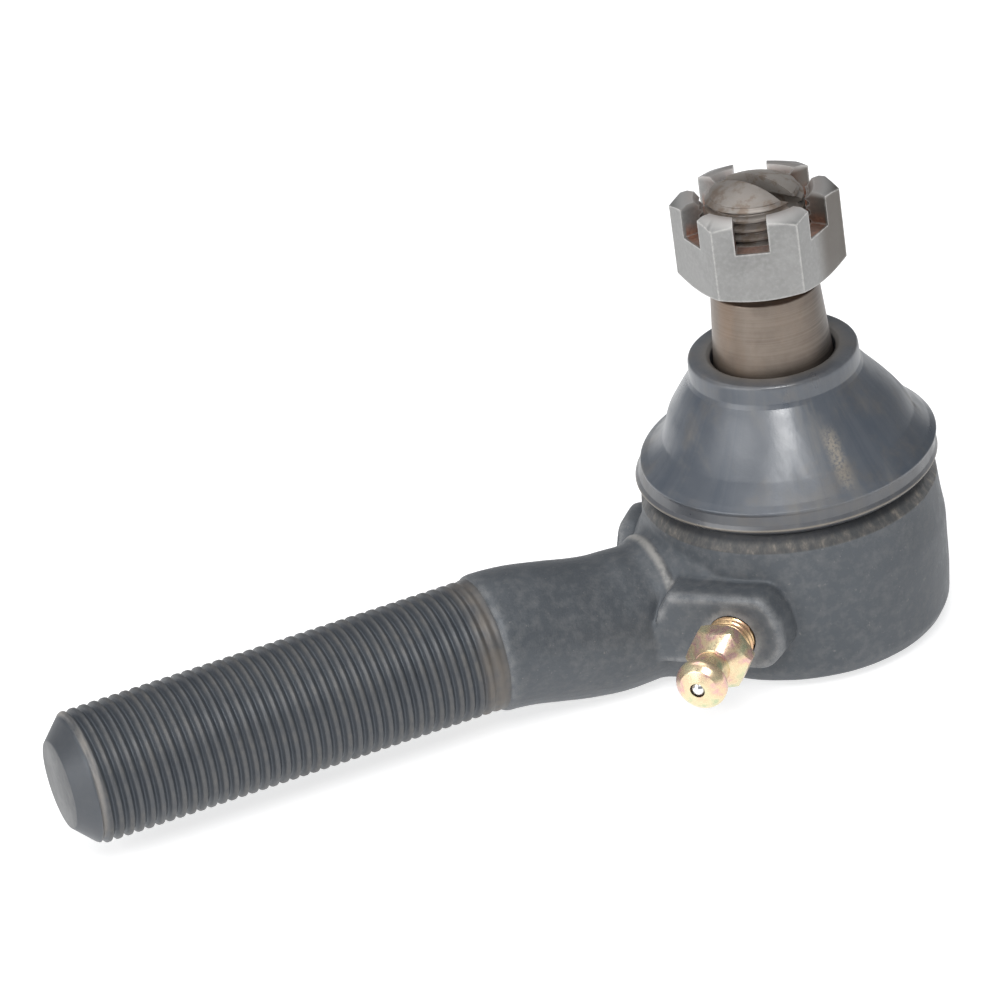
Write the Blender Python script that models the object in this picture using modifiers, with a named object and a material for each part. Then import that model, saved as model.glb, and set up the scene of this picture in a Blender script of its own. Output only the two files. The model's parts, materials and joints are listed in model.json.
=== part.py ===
"""Greasable outer tie rod end with an 11/16-18 shank and a 1/2-20 tapered ball stud.

World frame, metres: the stud's axis is +Z, the shank points along -X, the grease
fitting looks toward -X -Y, and the origin is the middle of the cover plate's underside.
All sizes below are in millimetres.
"""

import math

import bmesh
import bpy
from mathutils import Matrix, Vector

MM = 0.001
SEAM = 0.01  # distance under which two points are the same point

# the ball: the stud's round head below, the half ball around its neck above
BALL_CENTRE_Z = 12.6
BALL_R = 9.0
RACE_R = 9.3
BALL_FLAT_R = 2.5
BALL_SPLIT = 0.15
HALF_BALL_TOP = 6.2
HALF_BALL_BORE_R = 5.5
NECK_R = 5.2

# the tapered stud above the ball: radius and height
TAPER_TOP_Z = 48.9
TAPER_SMALL_R = 7.0
TAPER_LARGE_R = 7.9
TAPER_LARGE_Z = 36.4
STUD_THREAD_R = 6.35
STUD_ROOT_R = 5.62
STUD_PITCH = 1.27
STUD_THREAD_END_Z = 61.9
STUD_TOP_Z = 63.7
STUD_SLOT_WIDTH = 2.3
STUD_SLOT_DEPTH = 2.1
STUD_SLOT_ANGLE = math.radians(-66)
PIN_HOLE_R = 1.6
PIN_HOLE_Z = 59.2

# the slotted nut
NUT_FLATS = 18.75
NUT_BOTTOM_Z = 50.57
NUT_HEIGHT = 11.3
NUT_CORNER_DROP = 0.9
NUT_BORE_R = 6.65
NUT_COUNTERSINK_R = 7.4
NUT_CORNER_START_R = 8.6
NUT_SLOT_WIDTH = 4.3
NUT_SLOT_DEPTH = 4.35
NUT_SLOT_SHIFT = (-0.45, 0.15)  # the saw cuts run a little off the middle of the flats
NUT_TURN = math.radians(3.9)

# the forged socket
SOCKET_TOP_Z = 22.0
COLLAR_TOP_Z = 23.6
COLLAR_R = 15.4
BORE_R = 12.6
SHOULDER_Z = 17.3
MOUTH_R = 8.8
COVER_BORE_R = 13.6
COVER_BORE_Z = 2.8

# the rubber boot and the steel ring inside its base
BOOT_BOTTOM_Z = 22.3
BOOT_TOP_Z = 39.5
BOOT_R = 19.87
BOOT_FOLD_Z = 25.8
BOOT_LIP_R = 10.95
BOOT_BORE_R = 8.15
BASE_RING_R = 15.75

# the neck and the threaded shank
SHANK_Z = 11.16
SHANK_END_X = -103.2
SHANK_THREAD_R = 8.73
SHANK_ROOT_R = 7.86
SHANK_PITCH = 25.4 / 18
SHANK_FACE_R = 5.8
SHANK_CHAMFER_LENGTH = 2.9
SHANK_THREAD_START_X = -45.0
SHANK_BURIED_X = -40.0
SWEPT_R = 9.17
NECK_ROOT_R = 9.0
NECK_Z = 8.35
BEND_START_X = -26.5
BEND_END_X = -44.0
FLARE_START_X = -21.2
FLARE_START_R = 9.7
FLARE_END_X = -16.6
FLARE_END_R = 13.4
FLARE_FLOOR_Z = 0.6
FLARE_TOP_Z = 21.4

# the two bosses: outlines of their faces as (distance toward the stud's far side, height)
BOSS_TURN = math.radians(45)
BOSS_MIDDLE = (-1.0, 10.4)
BOSS_ROOT_REACH = 15.5
BOSS_ROOT_SPREAD = 1.1
NEAR_BOSS_REACH = 23.8
NEAR_BOSS_OUTLINE = (
    (-11.1, 10.5),
    (-10.4, 13.4),
    (-9.0, 15.6),
    (2.2, 15.8),
    (4.0, 15.1),
    (5.6, 12.6),
    (6.2, 9.6),
    (5.3, 7.3),
    (3.4, 5.8),
    (-11.1, 5.6),
)
FAR_BOSS_REACH = 22.3
FAR_BOSS_OUTLINE = (
    (-7.9, 12.0),
    (-6.7, 13.7),
    (-5.2, 14.9),
    (-3.2, 15.4),
    (-0.8, 15.2),
    (1.8, 14.3),
    (4.2, 12.6),
    (5.4, 10.2),
    (4.8, 7.6),
    (2.6, 5.9),
    (-7.9, 5.6),
)

# the grease fitting, screwed into the near boss; heights along its own axis from the boss
FITTING_SIDE = -0.66
FITTING_Z = 10.13
FITTING_THREAD_R = 3.12
FITTING_FLATS = 7.7
FITTING_FLATS_START = 3.5
FITTING_FLATS_END = 7.0
FITTING_HOLE_R = 3.3
FITTING_STEM_R = 2.95
FITTING_HEAD_R = 3.38
CHECK_BALL_R = 1.2
CHECK_BALL_AT = 12.2
FITTING_TIP = 13.3

CAST_STEEL = ((0.10, 0.11, 0.12), 0.75, 0.55)
GROUND_STEEL = ((0.36, 0.30, 0.24), 0.9, 0.35)
NUT_STEEL = ((0.62, 0.61, 0.58), 0.9, 0.3)
POLISHED_STEEL = ((0.75, 0.75, 0.76), 1.0, 0.15)
SPRING_STEEL = ((0.32, 0.33, 0.36), 1.0, 0.3)
GOLD_PASSIVATE = ((0.72, 0.58, 0.30), 0.9, 0.25)
BOOT_RUBBER = ((0.05, 0.055, 0.065), 0.0, 0.5)
SEAL_RUBBER = ((0.03, 0.03, 0.03), 0.0, 0.7)
RACE_NYLON = ((0.82, 0.80, 0.72), 0.0, 0.4)


def clear_scene():
    for thing in list(bpy.data.objects):
        bpy.data.objects.remove(thing)


def new_collection(name):
    collection = bpy.data.collections.new(name)
    bpy.context.scene.collection.children.link(collection)
    return collection


def new_material(name, look):
    colour, metallic, roughness = look
    material = bpy.data.materials.new(name)
    material.use_nodes = True
    surface = material.node_tree.nodes["Principled BSDF"]
    surface.inputs["Base Color"].default_value = (*colour, 1.0)
    surface.inputs["Metallic"].default_value = metallic
    surface.inputs["Roughness"].default_value = roughness
    return material


def smooth_by_angle(mesh, degrees=35):
    mesh.shade_smooth()
    mesh.set_sharp_from_angle(angle=math.radians(degrees))


def add_object(name, mesh, collection):
    thing = bpy.data.objects.new(name, mesh)
    collection.objects.link(thing)
    return thing


def mesh_from(name, vertices, faces):
    """A closed mesh with merged points and outward faces, from sizes in millimetres."""
    mesh = bpy.data.meshes.new(name)
    mesh.from_pydata([Vector(v) * MM for v in vertices], [], faces)
    shape = bmesh.new()
    shape.from_mesh(mesh)
    bmesh.ops.remove_doubles(shape, verts=shape.verts, dist=SEAM * MM)
    bmesh.ops.dissolve_degenerate(shape, edges=shape.edges, dist=SEAM * MM * 0.1)
    bmesh.ops.recalc_face_normals(shape, faces=shape.faces)
    shape.to_mesh(mesh)
    shape.free()
    return mesh


def turned(name, profile, collection, steps=48, closed=False):
    """Spin a profile of (radius, height), listed down its outer side, about the Z axis."""
    mesh = bpy.data.meshes.new(name)
    edges = [(i, i + 1) for i in range(len(profile) - 1)]
    if closed:
        edges.append((len(profile) - 1, 0))
    mesh.from_pydata([(r * MM, 0.0, z * MM) for r, z in profile], edges, [])
    thing = add_object(name, mesh, collection)
    screw = thing.modifiers.new("Turn", "SCREW")
    screw.axis = "Z"
    screw.steps = steps
    screw.render_steps = steps
    screw.use_merge_vertices = True
    screw.merge_threshold = SEAM * MM
    screw.use_smooth_shade = False
    return thing


def primitive(name, collection, fill):
    """An object whose mesh is filled in by a bmesh primitive."""
    mesh = bpy.data.meshes.new(name)
    shape = bmesh.new()
    fill(shape)
    shape.to_mesh(mesh)
    shape.free()
    return add_object(name, mesh, collection)


def box(name, size, centre, collection, turn=0.0):
    def fill(shape):
        bmesh.ops.create_cube(shape, size=1.0)
        bmesh.ops.scale(shape, vec=Vector(size) * MM, verts=shape.verts)

    thing = primitive(name, collection, fill)
    thing.matrix_world = Matrix.Translation(Vector(centre) * MM) @ Matrix.Rotation(turn, 4, "Z")
    return thing


def prism(name, sides, flats, bottom, top, collection, turn=0.0):
    """A straight prism with regular sides; one pair of flats faces along the turn angle."""
    radius = flats / 2 / math.cos(math.pi / sides) * MM
    # the primitive's first corner lies on +Y; this brings a flat's middle onto +X
    first_corner = math.pi / 2
    level = turn + math.pi / sides - first_corner

    def fill(shape):
        bmesh.ops.create_cone(
            shape,
            cap_ends=True,
            segments=sides,
            radius1=radius,
            radius2=radius,
            depth=(top - bottom) * MM,
        )
        bmesh.ops.rotate(shape, verts=shape.verts, matrix=Matrix.Rotation(level, 3, "Z"))
        middle = Vector((0.0, 0.0, (bottom + top) / 2 * MM))
        bmesh.ops.translate(shape, verts=shape.verts, vec=middle)

    return primitive(name, collection, fill)


def threaded_bar(name, below, thread, above, collection, columns=20):
    """A bar along Z whose middle carries a true helical V thread.

    below and above are lists of (radius, height) from the bottom up; thread is
    (start, end, crest radius, root radius, pitch, end face radius, end cone slope).
    """
    start, end, crest, root, pitch, face, slope = thread
    first = -3
    last = int(2 * (end - start) / pitch) + 3
    vertices = []
    for i in range(columns + 1):
        turn = 2 * math.pi * i / columns
        line = list(below)
        for j in range(first, last + 1):
            height = start + pitch * (j / 2 + i / columns)
            radius = crest if j % 2 else root
            if height <= start:
                height, radius = start, root
            elif height >= end:
                height, radius = end, face
            else:
                radius = min(radius, face + (end - height) * slope)
            line.append((radius, height))
        line += above
        vertices += [(r * math.cos(turn), r * math.sin(turn), z) for r, z in line]
    rows = len(below) + len(above) + last - first + 1
    faces = []
    for i in range(columns):
        for j in range(rows - 1):
            a = i * rows + j
            faces.append((a, a + rows, a + rows + 1, a + 1))
    return add_object(name, mesh_from(name, vertices, faces), collection)


def combine(target, tool, operation):
    """Join, cut or intersect the target with a hidden tool object."""
    step = target.modifiers.new(f"{operation} {tool.name}", "BOOLEAN")
    step.operation = operation
    step.solver = "EXACT"
    step.object = tool
    tool.hide_render = True
    tool.display_type = "WIRE"


def sphere_arc(radius, centre_z, from_z, to_z, points):
    """Points (radius, height) on a ball's outline from one height to another."""
    first = math.acos(max(-1.0, min(1.0, (from_z - centre_z) / radius)))
    last = math.acos(max(-1.0, min(1.0, (to_z - centre_z) / radius)))
    arc = []
    for i in range(points + 1):
        angle = first + (last - first) * i / points
        arc.append((radius * math.sin(angle), centre_z + radius * math.cos(angle)))
    return arc


def fitting_frame():
    """The grease fitting's own frame: its +Z looks out of the near boss's face."""
    outward = Vector((-math.sin(BOSS_TURN), -math.cos(BOSS_TURN), 0.0))
    along = Vector((math.cos(BOSS_TURN), -math.sin(BOSS_TURN), 0.0))
    seat = outward * NEAR_BOSS_REACH + along * FITTING_SIDE + Vector((0.0, 0.0, FITTING_Z))
    return Matrix.Translation(seat * MM) @ outward.to_track_quat("Z", "X").to_matrix().to_4x4()


def sweep_neck(collection):
    """The S-bent neck, from inside the socket to inside the shank."""
    stops = [
        (-9.0, NECK_Z + 1.5, NECK_ROOT_R),
        (-17.0, NECK_Z + 1.2, NECK_ROOT_R),
        (-20.5, NECK_Z + 0.3, NECK_ROOT_R),
        (-23.0, NECK_Z, NECK_ROOT_R),
    ]
    steps = 8
    for i in range(steps + 1):
        t = i / steps
        height = NECK_Z + (SHANK_Z - NECK_Z) * t * t * (3 - 2 * t)
        stops.append((BEND_START_X + (BEND_END_X - BEND_START_X) * t, height, SWEPT_R))
    stops += [
        (SHANK_THREAD_START_X + 0.3, SHANK_Z, SWEPT_R - 0.2),
        (SHANK_THREAD_START_X, SHANK_Z, SHANK_ROOT_R - 0.2),
        (SHANK_THREAD_START_X - 3.0, SHANK_Z, SHANK_ROOT_R - 0.4),
    ]
    path = [((x, 0.0, z), radius / SWEPT_R) for x, z, radius in stops]
    return mesh_of_curve("neck", wire_curve("neck_path", SWEPT_R, 8, path), collection)


def boss(name, outline, reach, side, collection):
    """A drafted pad on the socket's side; side is -1 for the near one and 1 for the far one."""
    middle_w, middle_z = BOSS_MIDDLE
    buried_reach = BOSS_ROOT_REACH - 7.5
    outward = Vector((-math.sin(BOSS_TURN), side * math.cos(BOSS_TURN), 0.0))
    along = Vector((math.cos(BOSS_TURN), side * math.sin(BOSS_TURN), 0.0))
    rings = (
        (reach, 1.0),
        (BOSS_ROOT_REACH, BOSS_ROOT_SPREAD),
        (buried_reach, BOSS_ROOT_SPREAD),
    )
    count = len(outline)
    vertices = []
    for distance, spread in rings:
        for w, z in outline:
            across = middle_w + (w - middle_w) * (spread if w > middle_w else 1.0)
            height = middle_z + (z - middle_z) * spread
            vertices.append(outward * distance + along * across + Vector((0, 0, height)))
    faces = [tuple(range(count)), tuple(reversed(range(2 * count, 3 * count)))]
    for ring in (0, count):
        faces += [
            (ring + i, ring + count + i, ring + count + (i + 1) % count, ring + (i + 1) % count)
            for i in range(count)
        ]
    return add_object(name, mesh_from(name, vertices, faces), collection)


def socket_outline():
    return [
        (0.0, COLLAR_TOP_Z),
        (COLLAR_R - 0.4, COLLAR_TOP_Z),
        (COLLAR_R, COLLAR_TOP_Z - 0.4),
        (COLLAR_R, SOCKET_TOP_Z),
        (18.0, SOCKET_TOP_Z),
        (19.25, SOCKET_TOP_Z - 2.2),
        (19.45, 17.4),
        (19.8, 14.2),
        (19.65, 9.4),
        (19.45, 4.7),
        (19.1, 2.75),
        (18.05, 1.15),
        (16.9, 0.35),
        (16.0, 0.05),
        (0.0, 0.05),
    ]


def socket_cavity():
    """The bore for the ball and its races, opened at both ends."""
    return [
        (0.0, COLLAR_TOP_Z + 2.0),
        (12.6, COLLAR_TOP_Z + 2.0),
        (12.4, COLLAR_TOP_Z),
        (MOUTH_R, SHOULDER_Z),
        (BORE_R, SHOULDER_Z - 0.05),
        (BORE_R, COVER_BORE_Z),
        (COVER_BORE_R, COVER_BORE_Z),
        (COVER_BORE_R, 0.9),
        (12.95, 0.0),
        (12.95, -2.0),
        (0.0, -2.0),
    ]


def make_socket(parts, tools):
    socket = turned("socket_housing", socket_outline(), parts, steps=52)
    flare_middle = (FLARE_TOP_Z + FLARE_FLOOR_Z) / 2
    flare = turned(
        "flare",
        [
            (0.0, -FLARE_START_X + 0.6),
            (NECK_ROOT_R - 0.5, -FLARE_START_X + 0.5),
            (FLARE_START_R, -FLARE_START_X),
            (FLARE_END_R, -FLARE_END_X),
            (0.0, -FLARE_END_X - 4.0),
        ],
        tools,
        steps=40,
    )
    flare.matrix_world = Matrix.Translation((0, 0, NECK_Z * MM)) @ Matrix.Rotation(
        -math.pi / 2, 4, "Y"
    )
    slab = box("flare_slab", (60, 60, FLARE_TOP_Z - FLARE_FLOOR_Z), (0, 0, flare_middle), tools)
    combine(flare, slab, "INTERSECT")
    shank = threaded_bar(
        "threaded_shank",
        [(0.0, -SHANK_BURIED_X), (SHANK_ROOT_R, -SHANK_BURIED_X)],
        (
            -SHANK_THREAD_START_X,
            -SHANK_END_X,
            SHANK_THREAD_R,
            SHANK_ROOT_R,
            SHANK_PITCH,
            SHANK_FACE_R,
            (SHANK_THREAD_R - SHANK_FACE_R) / SHANK_CHAMFER_LENGTH,
        ),
        [(0.0, -SHANK_END_X)],
        tools,
    )
    shank.matrix_world = Matrix.Translation((0, 0, SHANK_Z * MM)) @ Matrix.Rotation(
        -math.pi / 2, 4, "Y"
    )
    for tool in (
        sweep_neck(tools),
        flare,
        boss("near_boss", NEAR_BOSS_OUTLINE, NEAR_BOSS_REACH, -1, tools),
        boss("far_boss", FAR_BOSS_OUTLINE, FAR_BOSS_REACH, 1, tools),
        shank,
    ):
        combine(socket, tool, "UNION")
    combine(socket, turned("ball_bore", socket_cavity(), tools, steps=52), "DIFFERENCE")
    grease_hole = turned(
        "grease_hole",
        [
            (0.0, 3.0),
            (FITTING_HOLE_R, 3.0),
            (FITTING_HOLE_R, -6.5),
            (1.2, -8.0),
            (1.2, -12.0),
            (0.0, -12.0),
        ],
        tools,
        steps=20,
    )
    grease_hole.matrix_world = fitting_frame()
    combine(socket, grease_hole, "DIFFERENCE")
    return socket


def stud_dome():
    """The rounded end of the stud, above its thread."""
    height = STUD_TOP_Z - STUD_THREAD_END_Z
    foot = STUD_ROOT_R - 0.1
    radius = (foot**2 + height**2) / (2 * height)
    centre_z = STUD_TOP_Z - radius
    return sphere_arc(radius, centre_z, STUD_THREAD_END_Z + 0.2, STUD_TOP_Z, 6)


def make_stud(parts, tools):
    lowest = BALL_CENTRE_Z - math.sqrt(BALL_R**2 - BALL_FLAT_R**2)
    split = BALL_CENTRE_Z - BALL_SPLIT
    shape = [(0.0, lowest)] + sphere_arc(BALL_R, BALL_CENTRE_Z, lowest, split, 8)
    shape += [
        (NECK_R, split),
        (NECK_R, 25.8),
        (5.5, 28.0),
        (6.3, 31.5),
        (7.45, 35.4),
        (TAPER_LARGE_R, TAPER_LARGE_Z),
        (TAPER_SMALL_R, TAPER_TOP_Z),
        (STUD_ROOT_R, TAPER_TOP_Z + 0.3),
    ]
    thread = (
        TAPER_TOP_Z + 0.6,
        STUD_THREAD_END_Z,
        STUD_THREAD_R,
        STUD_ROOT_R,
        STUD_PITCH,
        STUD_ROOT_R - 0.1,
        1.0,
    )
    stud = threaded_bar(
        "ball_stud",
        shape,
        thread,
        stud_dome(),
        parts,
        columns=26,
    )
    slot = box(
        "stud_slot",
        (30, STUD_SLOT_WIDTH, 2 * STUD_SLOT_DEPTH),
        (0, 0, STUD_TOP_Z),
        tools,
        STUD_SLOT_ANGLE,
    )
    combine(stud, slot, "DIFFERENCE")
    pin_hole = prism("pin_hole", 12, 2 * PIN_HOLE_R, -20.0, 20.0, tools)
    pin_hole.matrix_world = (
        Matrix.Translation((0, 0, PIN_HOLE_Z * MM))
        @ Matrix.Rotation(NUT_TURN + math.radians(120), 4, "Z")
        @ Matrix.Rotation(math.pi / 2, 4, "Y")
    )
    combine(stud, pin_hole, "DIFFERENCE")
    return stud


def make_nut(parts, tools):
    top = NUT_BOTTOM_Z + NUT_HEIGHT
    nut = prism("slotted_nut", 6, NUT_FLATS, NUT_BOTTOM_Z, top, parts, NUT_TURN)
    corner_r = NUT_FLATS / 2 / math.cos(math.pi / 6)
    barrel = turned(
        "nut_barrel",
        [
            (0.0, top + 1.0),
            (NUT_CORNER_START_R, top + 1.0),
            (NUT_CORNER_START_R, top),
            (corner_r + 0.1, top - NUT_CORNER_DROP),
            (corner_r + 0.1, NUT_BOTTOM_Z + NUT_CORNER_DROP),
            (NUT_CORNER_START_R, NUT_BOTTOM_Z),
            (NUT_CORNER_START_R, NUT_BOTTOM_Z - 1.0),
            (0.0, NUT_BOTTOM_Z - 1.0),
        ],
        tools,
        steps=48,
    )
    combine(nut, barrel, "INTERSECT")
    bore = turned(
        "nut_bore",
        [
            (0.0, top + 2.0),
            (NUT_COUNTERSINK_R + 2.0, top + 2.0),
            (NUT_BORE_R, top - 0.75),
            (NUT_BORE_R, NUT_BOTTOM_Z + 0.75),
            (NUT_COUNTERSINK_R + 2.0, NUT_BOTTOM_Z - 2.0),
            (0.0, NUT_BOTTOM_Z - 2.0),
        ],
        tools,
        steps=32,
    )
    combine(nut, bore, "DIFFERENCE")
    for i in range(3):
        slot = box(
            f"nut_slot_{i + 1}",
            (40, NUT_SLOT_WIDTH, 2 * NUT_SLOT_DEPTH),
            (*NUT_SLOT_SHIFT, top),
            tools,
            NUT_TURN + math.radians(60 * i),
        )
        combine(nut, slot, "DIFFERENCE")
    return nut


def make_races(parts):
    upper_mouth = 16.8
    top = SHOULDER_Z - 0.35
    upper = [(8.5, top), (BORE_R - 0.3, top), (BORE_R - 0.3, BALL_CENTRE_Z + 0.1)]
    upper += sphere_arc(RACE_R, BALL_CENTRE_Z, BALL_CENTRE_Z + 0.1, upper_mouth, 5)
    lower = sphere_arc(RACE_R, BALL_CENTRE_Z, BALL_CENTRE_Z - 8.8, BALL_CENTRE_Z - 0.3, 7)
    lower += [(BORE_R - 0.3, BALL_CENTRE_Z - 0.3), (BORE_R - 0.3, 3.1), (3.0, 3.1)]
    half_top = BALL_CENTRE_Z + HALF_BALL_TOP
    half_bottom = BALL_CENTRE_Z + BALL_SPLIT
    half = [(HALF_BALL_BORE_R, half_top)]
    half += sphere_arc(BALL_R, BALL_CENTRE_Z, half_top, half_bottom, 6)
    half += [(HALF_BALL_BORE_R, half_bottom)]
    return (
        turned("upper_bearing", upper, parts, steps=34, closed=True),
        turned("lower_bearing", lower, parts, steps=34, closed=True),
        turned("half_ball", half, parts, steps=34, closed=True),
    )


def make_closing_parts(parts):
    cover = turned(
        "cover_plate",
        [(0.0, 1.5), (13.1, 1.5), (13.3, 1.3), (13.3, 1.0), (12.55, 0.0), (0.0, 0.0)],
        parts,
        steps=40,
    )
    middle, thickness = (13.0, 2.15), 0.35
    ring = [
        (middle[0] + thickness * math.sin(a), middle[1] + thickness * math.cos(a))
        for a in [2 * math.pi * i / 6 for i in range(6)]
    ]
    seal = turned("cover_seal", ring, parts, steps=28, closed=True)
    spring = turned(
        "preload_spring",
        [(3.6, 2.8), (9.5, 2.3), (9.5, 1.8), (3.6, 2.3)],
        parts,
        steps=32,
        closed=True,
    )
    return cover, seal, spring


def make_boot(parts):
    outside = [
        (BOOT_BORE_R + 0.5, BOOT_TOP_Z),
        (BOOT_LIP_R - 0.5, BOOT_TOP_Z),
        (BOOT_LIP_R - 0.15, BOOT_TOP_Z - 0.4),
        (BOOT_LIP_R, BOOT_TOP_Z - 1.4),
        (BOOT_LIP_R, BOOT_TOP_Z - 2.5),
        (11.4, 36.4),
        (12.65, 35.0),
        (13.8, 33.4),
        (14.8, 31.8),
        (15.9, 30.25),
        (17.2, 28.7),
        (18.6, 27.1),
        (19.5, 26.3),
        (BOOT_R, BOOT_FOLD_Z),
        (19.55, 24.6),
        (19.7, 24.1),
        (19.5, 23.3),
        (19.0, 22.8),
        (18.5, BOOT_BOTTOM_Z),
    ]
    inside = [
        (16.6, BOOT_BOTTOM_Z),
        (16.6, 24.2),
        (17.6, 24.6),
        (18.0, 25.2),
        (17.2, 26.6),
        (16.0, 28.2),
        (14.7, 29.8),
        (13.6, 31.2),
        (12.6, 32.8),
        (11.4, 34.4),
        (10.0, 35.6),
        (BOOT_BORE_R + 0.1, 36.2),
        (BOOT_BORE_R, 38.0),
        (BOOT_BORE_R, BOOT_TOP_Z - 0.4),
    ]
    boot = turned("dust_cover", outside + inside, parts, steps=38, closed=True)
    low, high = BOOT_BOTTOM_Z + 0.05, 24.0
    ring = turned(
        "boot_base_ring",
        [(BASE_RING_R, high), (16.3, high), (16.3, low), (BASE_RING_R, low)],
        parts,
        steps=38,
        closed=True,
    )
    return boot, ring


def make_fitting(parts, tools):
    frame = fitting_frame()
    tip = FITTING_TIP
    body = turned(
        "grease_fitting_body",
        [
            (0.0, tip),
            (1.3, tip),
            (2.5, tip - 0.45),
            (3.15, tip - 1.0),
            (FITTING_HEAD_R, tip - 1.7),
            (3.25, tip - 2.3),
            (2.4, tip - 3.0),
            (2.3, tip - 3.6),
            (2.3, FITTING_FLATS_END),
            (0.0, FITTING_FLATS_END),
        ],
        parts,
        steps=22,
    )
    stem = turned(
        "fitting_stem",
        [
            (0.0, FITTING_FLATS_START + 0.5),
            (FITTING_THREAD_R, FITTING_FLATS_START + 0.5),
            (FITTING_THREAD_R, 0.3),
            (FITTING_STEM_R, 0.3),
            (FITTING_STEM_R, -5.6),
            (2.4, -6.0),
            (0.0, -6.0),
        ],
        tools,
        steps=22,
    )
    hexagon = prism(
        "fitting_hexagon",
        6,
        FITTING_FLATS,
        FITTING_FLATS_START,
        FITTING_FLATS_END,
        tools,
        math.radians(2),
    )
    corner_r = FITTING_FLATS / 2 / math.cos(math.pi / 6)
    trim = turned(
        "fitting_hexagon_trim",
        [
            (0.0, FITTING_FLATS_END + 0.1),
            (2.4, FITTING_FLATS_END + 0.1),
            (corner_r, FITTING_FLATS_START + 1.9),
            (corner_r, FITTING_FLATS_START + 0.3),
            (corner_r - 0.5, FITTING_FLATS_START - 0.1),
            (0.0, FITTING_FLATS_START - 0.1),
        ],
        tools,
        steps=22,
    )
    passage = turned(
        "fitting_passage",
        [
            (0.0, tip + 2.0),
            (0.95, tip + 2.0),
            (1.0, tip),
            (1.5, tip - 0.6),
            (1.5, 5.0),
            (0.8, 4.4),
            (0.8, -8.0),
            (0.0, -8.0),
        ],
        tools,
        steps=20,
    )
    for thing in (body, stem, hexagon, trim, passage):
        thing.matrix_world = frame
    combine(hexagon, trim, "INTERSECT")
    combine(body, stem, "UNION")
    combine(body, hexagon, "UNION")
    combine(body, passage, "DIFFERENCE")

    def fill(shape):
        bmesh.ops.create_uvsphere(
            shape, u_segments=16, v_segments=8, radius=CHECK_BALL_R * MM
        )

    ball = primitive("fitting_check_ball", parts, fill)
    ball.matrix_world = frame @ Matrix.Translation((0, 0, CHECK_BALL_AT * MM))
    return body, ball, coil_spring(frame, parts)


def mesh_of_curve(name, curve, collection):
    """The closed, welded mesh of a round-section curve with filled ends."""
    drawn = add_object(name + "_curve", curve, collection)
    view = bpy.context.evaluated_depsgraph_get()
    mesh = bpy.data.meshes.new_from_object(drawn.evaluated_get(view))
    bpy.data.objects.remove(drawn)
    shape = bmesh.new()
    shape.from_mesh(mesh)
    bmesh.ops.remove_doubles(shape, verts=shape.verts, dist=SEAM * MM)
    bmesh.ops.recalc_face_normals(shape, faces=shape.faces)
    shape.to_mesh(mesh)
    shape.free()
    return add_object(name, mesh, collection)


def wire_curve(name, radius, resolution, path):
    """A straight-segment curve through (point, radius share) pairs, sizes in millimetres."""
    curve = bpy.data.curves.new(name, "CURVE")
    curve.dimensions = "3D"
    curve.bevel_depth = radius * MM
    curve.bevel_resolution = resolution
    curve.use_fill_caps = True
    line = curve.splines.new("POLY")
    line.points.add(len(path) - 1)
    for point, (place, share) in zip(line.points, path):
        point.co = (*(Vector(place) * MM), 1.0)
        point.radius = share
    return curve


def coil_spring(frame, parts):
    """The small compression spring between the fitting's inner step and the check ball."""
    coil_r, wire_r = 1.05, 0.14
    low, high = 5.3, CHECK_BALL_AT - CHECK_BALL_R - 0.1
    turns, per_turn = 4, 9
    count = turns * per_turn
    path = []
    for i in range(count + 1):
        angle = 2 * math.pi * i / per_turn
        height = low + (high - low) * i / count
        path.append(((coil_r * math.cos(angle), coil_r * math.sin(angle), height), 1.0))
    spring = mesh_of_curve("fitting_spring", wire_curve("spring_wire", wire_r, 2, path), parts)
    spring.matrix_world = frame
    return spring


def hang_on_ball(things, parts):
    """Parent the pieces that tilt and turn with the stud to a point at the ball's centre."""
    centre = Matrix.Translation((0.0, 0.0, BALL_CENTRE_Z * MM))
    pivot = bpy.data.objects.new("ball_centre", None)
    parts.objects.link(pivot)
    pivot.matrix_world = centre
    for thing in things:
        thing.parent = pivot
        thing.matrix_parent_inverse = centre.inverted()


def main():
    clear_scene()
    parts = new_collection("tie_rod_end")
    tools = new_collection("cutters_and_joined_shapes")

    socket = make_socket(parts, tools)
    stud = make_stud(parts, tools)
    nut = make_nut(parts, tools)
    upper, lower, half_ball = make_races(parts)
    cover, seal, spring = make_closing_parts(parts)
    boot, base_ring = make_boot(parts)
    fitting, check_ball, fitting_spring = make_fitting(parts, tools)
    hang_on_ball((boot, half_ball, stud, nut), parts)

    looks = {
        socket: CAST_STEEL,
        stud: GROUND_STEEL,
        nut: NUT_STEEL,
        upper: RACE_NYLON,
        lower: RACE_NYLON,
        half_ball: POLISHED_STEEL,
        cover: CAST_STEEL,
        seal: SEAL_RUBBER,
        spring: SPRING_STEEL,
        boot: BOOT_RUBBER,
        base_ring: SPRING_STEEL,
        fitting: GOLD_PASSIVATE,
        check_ball: POLISHED_STEEL,
        fitting_spring: SPRING_STEEL,
    }
    for thing, look in looks.items():
        thing.data.materials.append(new_material(thing.name + "_finish", look))
        smooth_by_angle(thing.data)


main()
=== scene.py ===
"""Looks of the tie rod end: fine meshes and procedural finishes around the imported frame."""

import json
import math

import bmesh
import bpy
from mathutils import Matrix, Vector
from mathutils.noise import noise as lattice_noise


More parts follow.
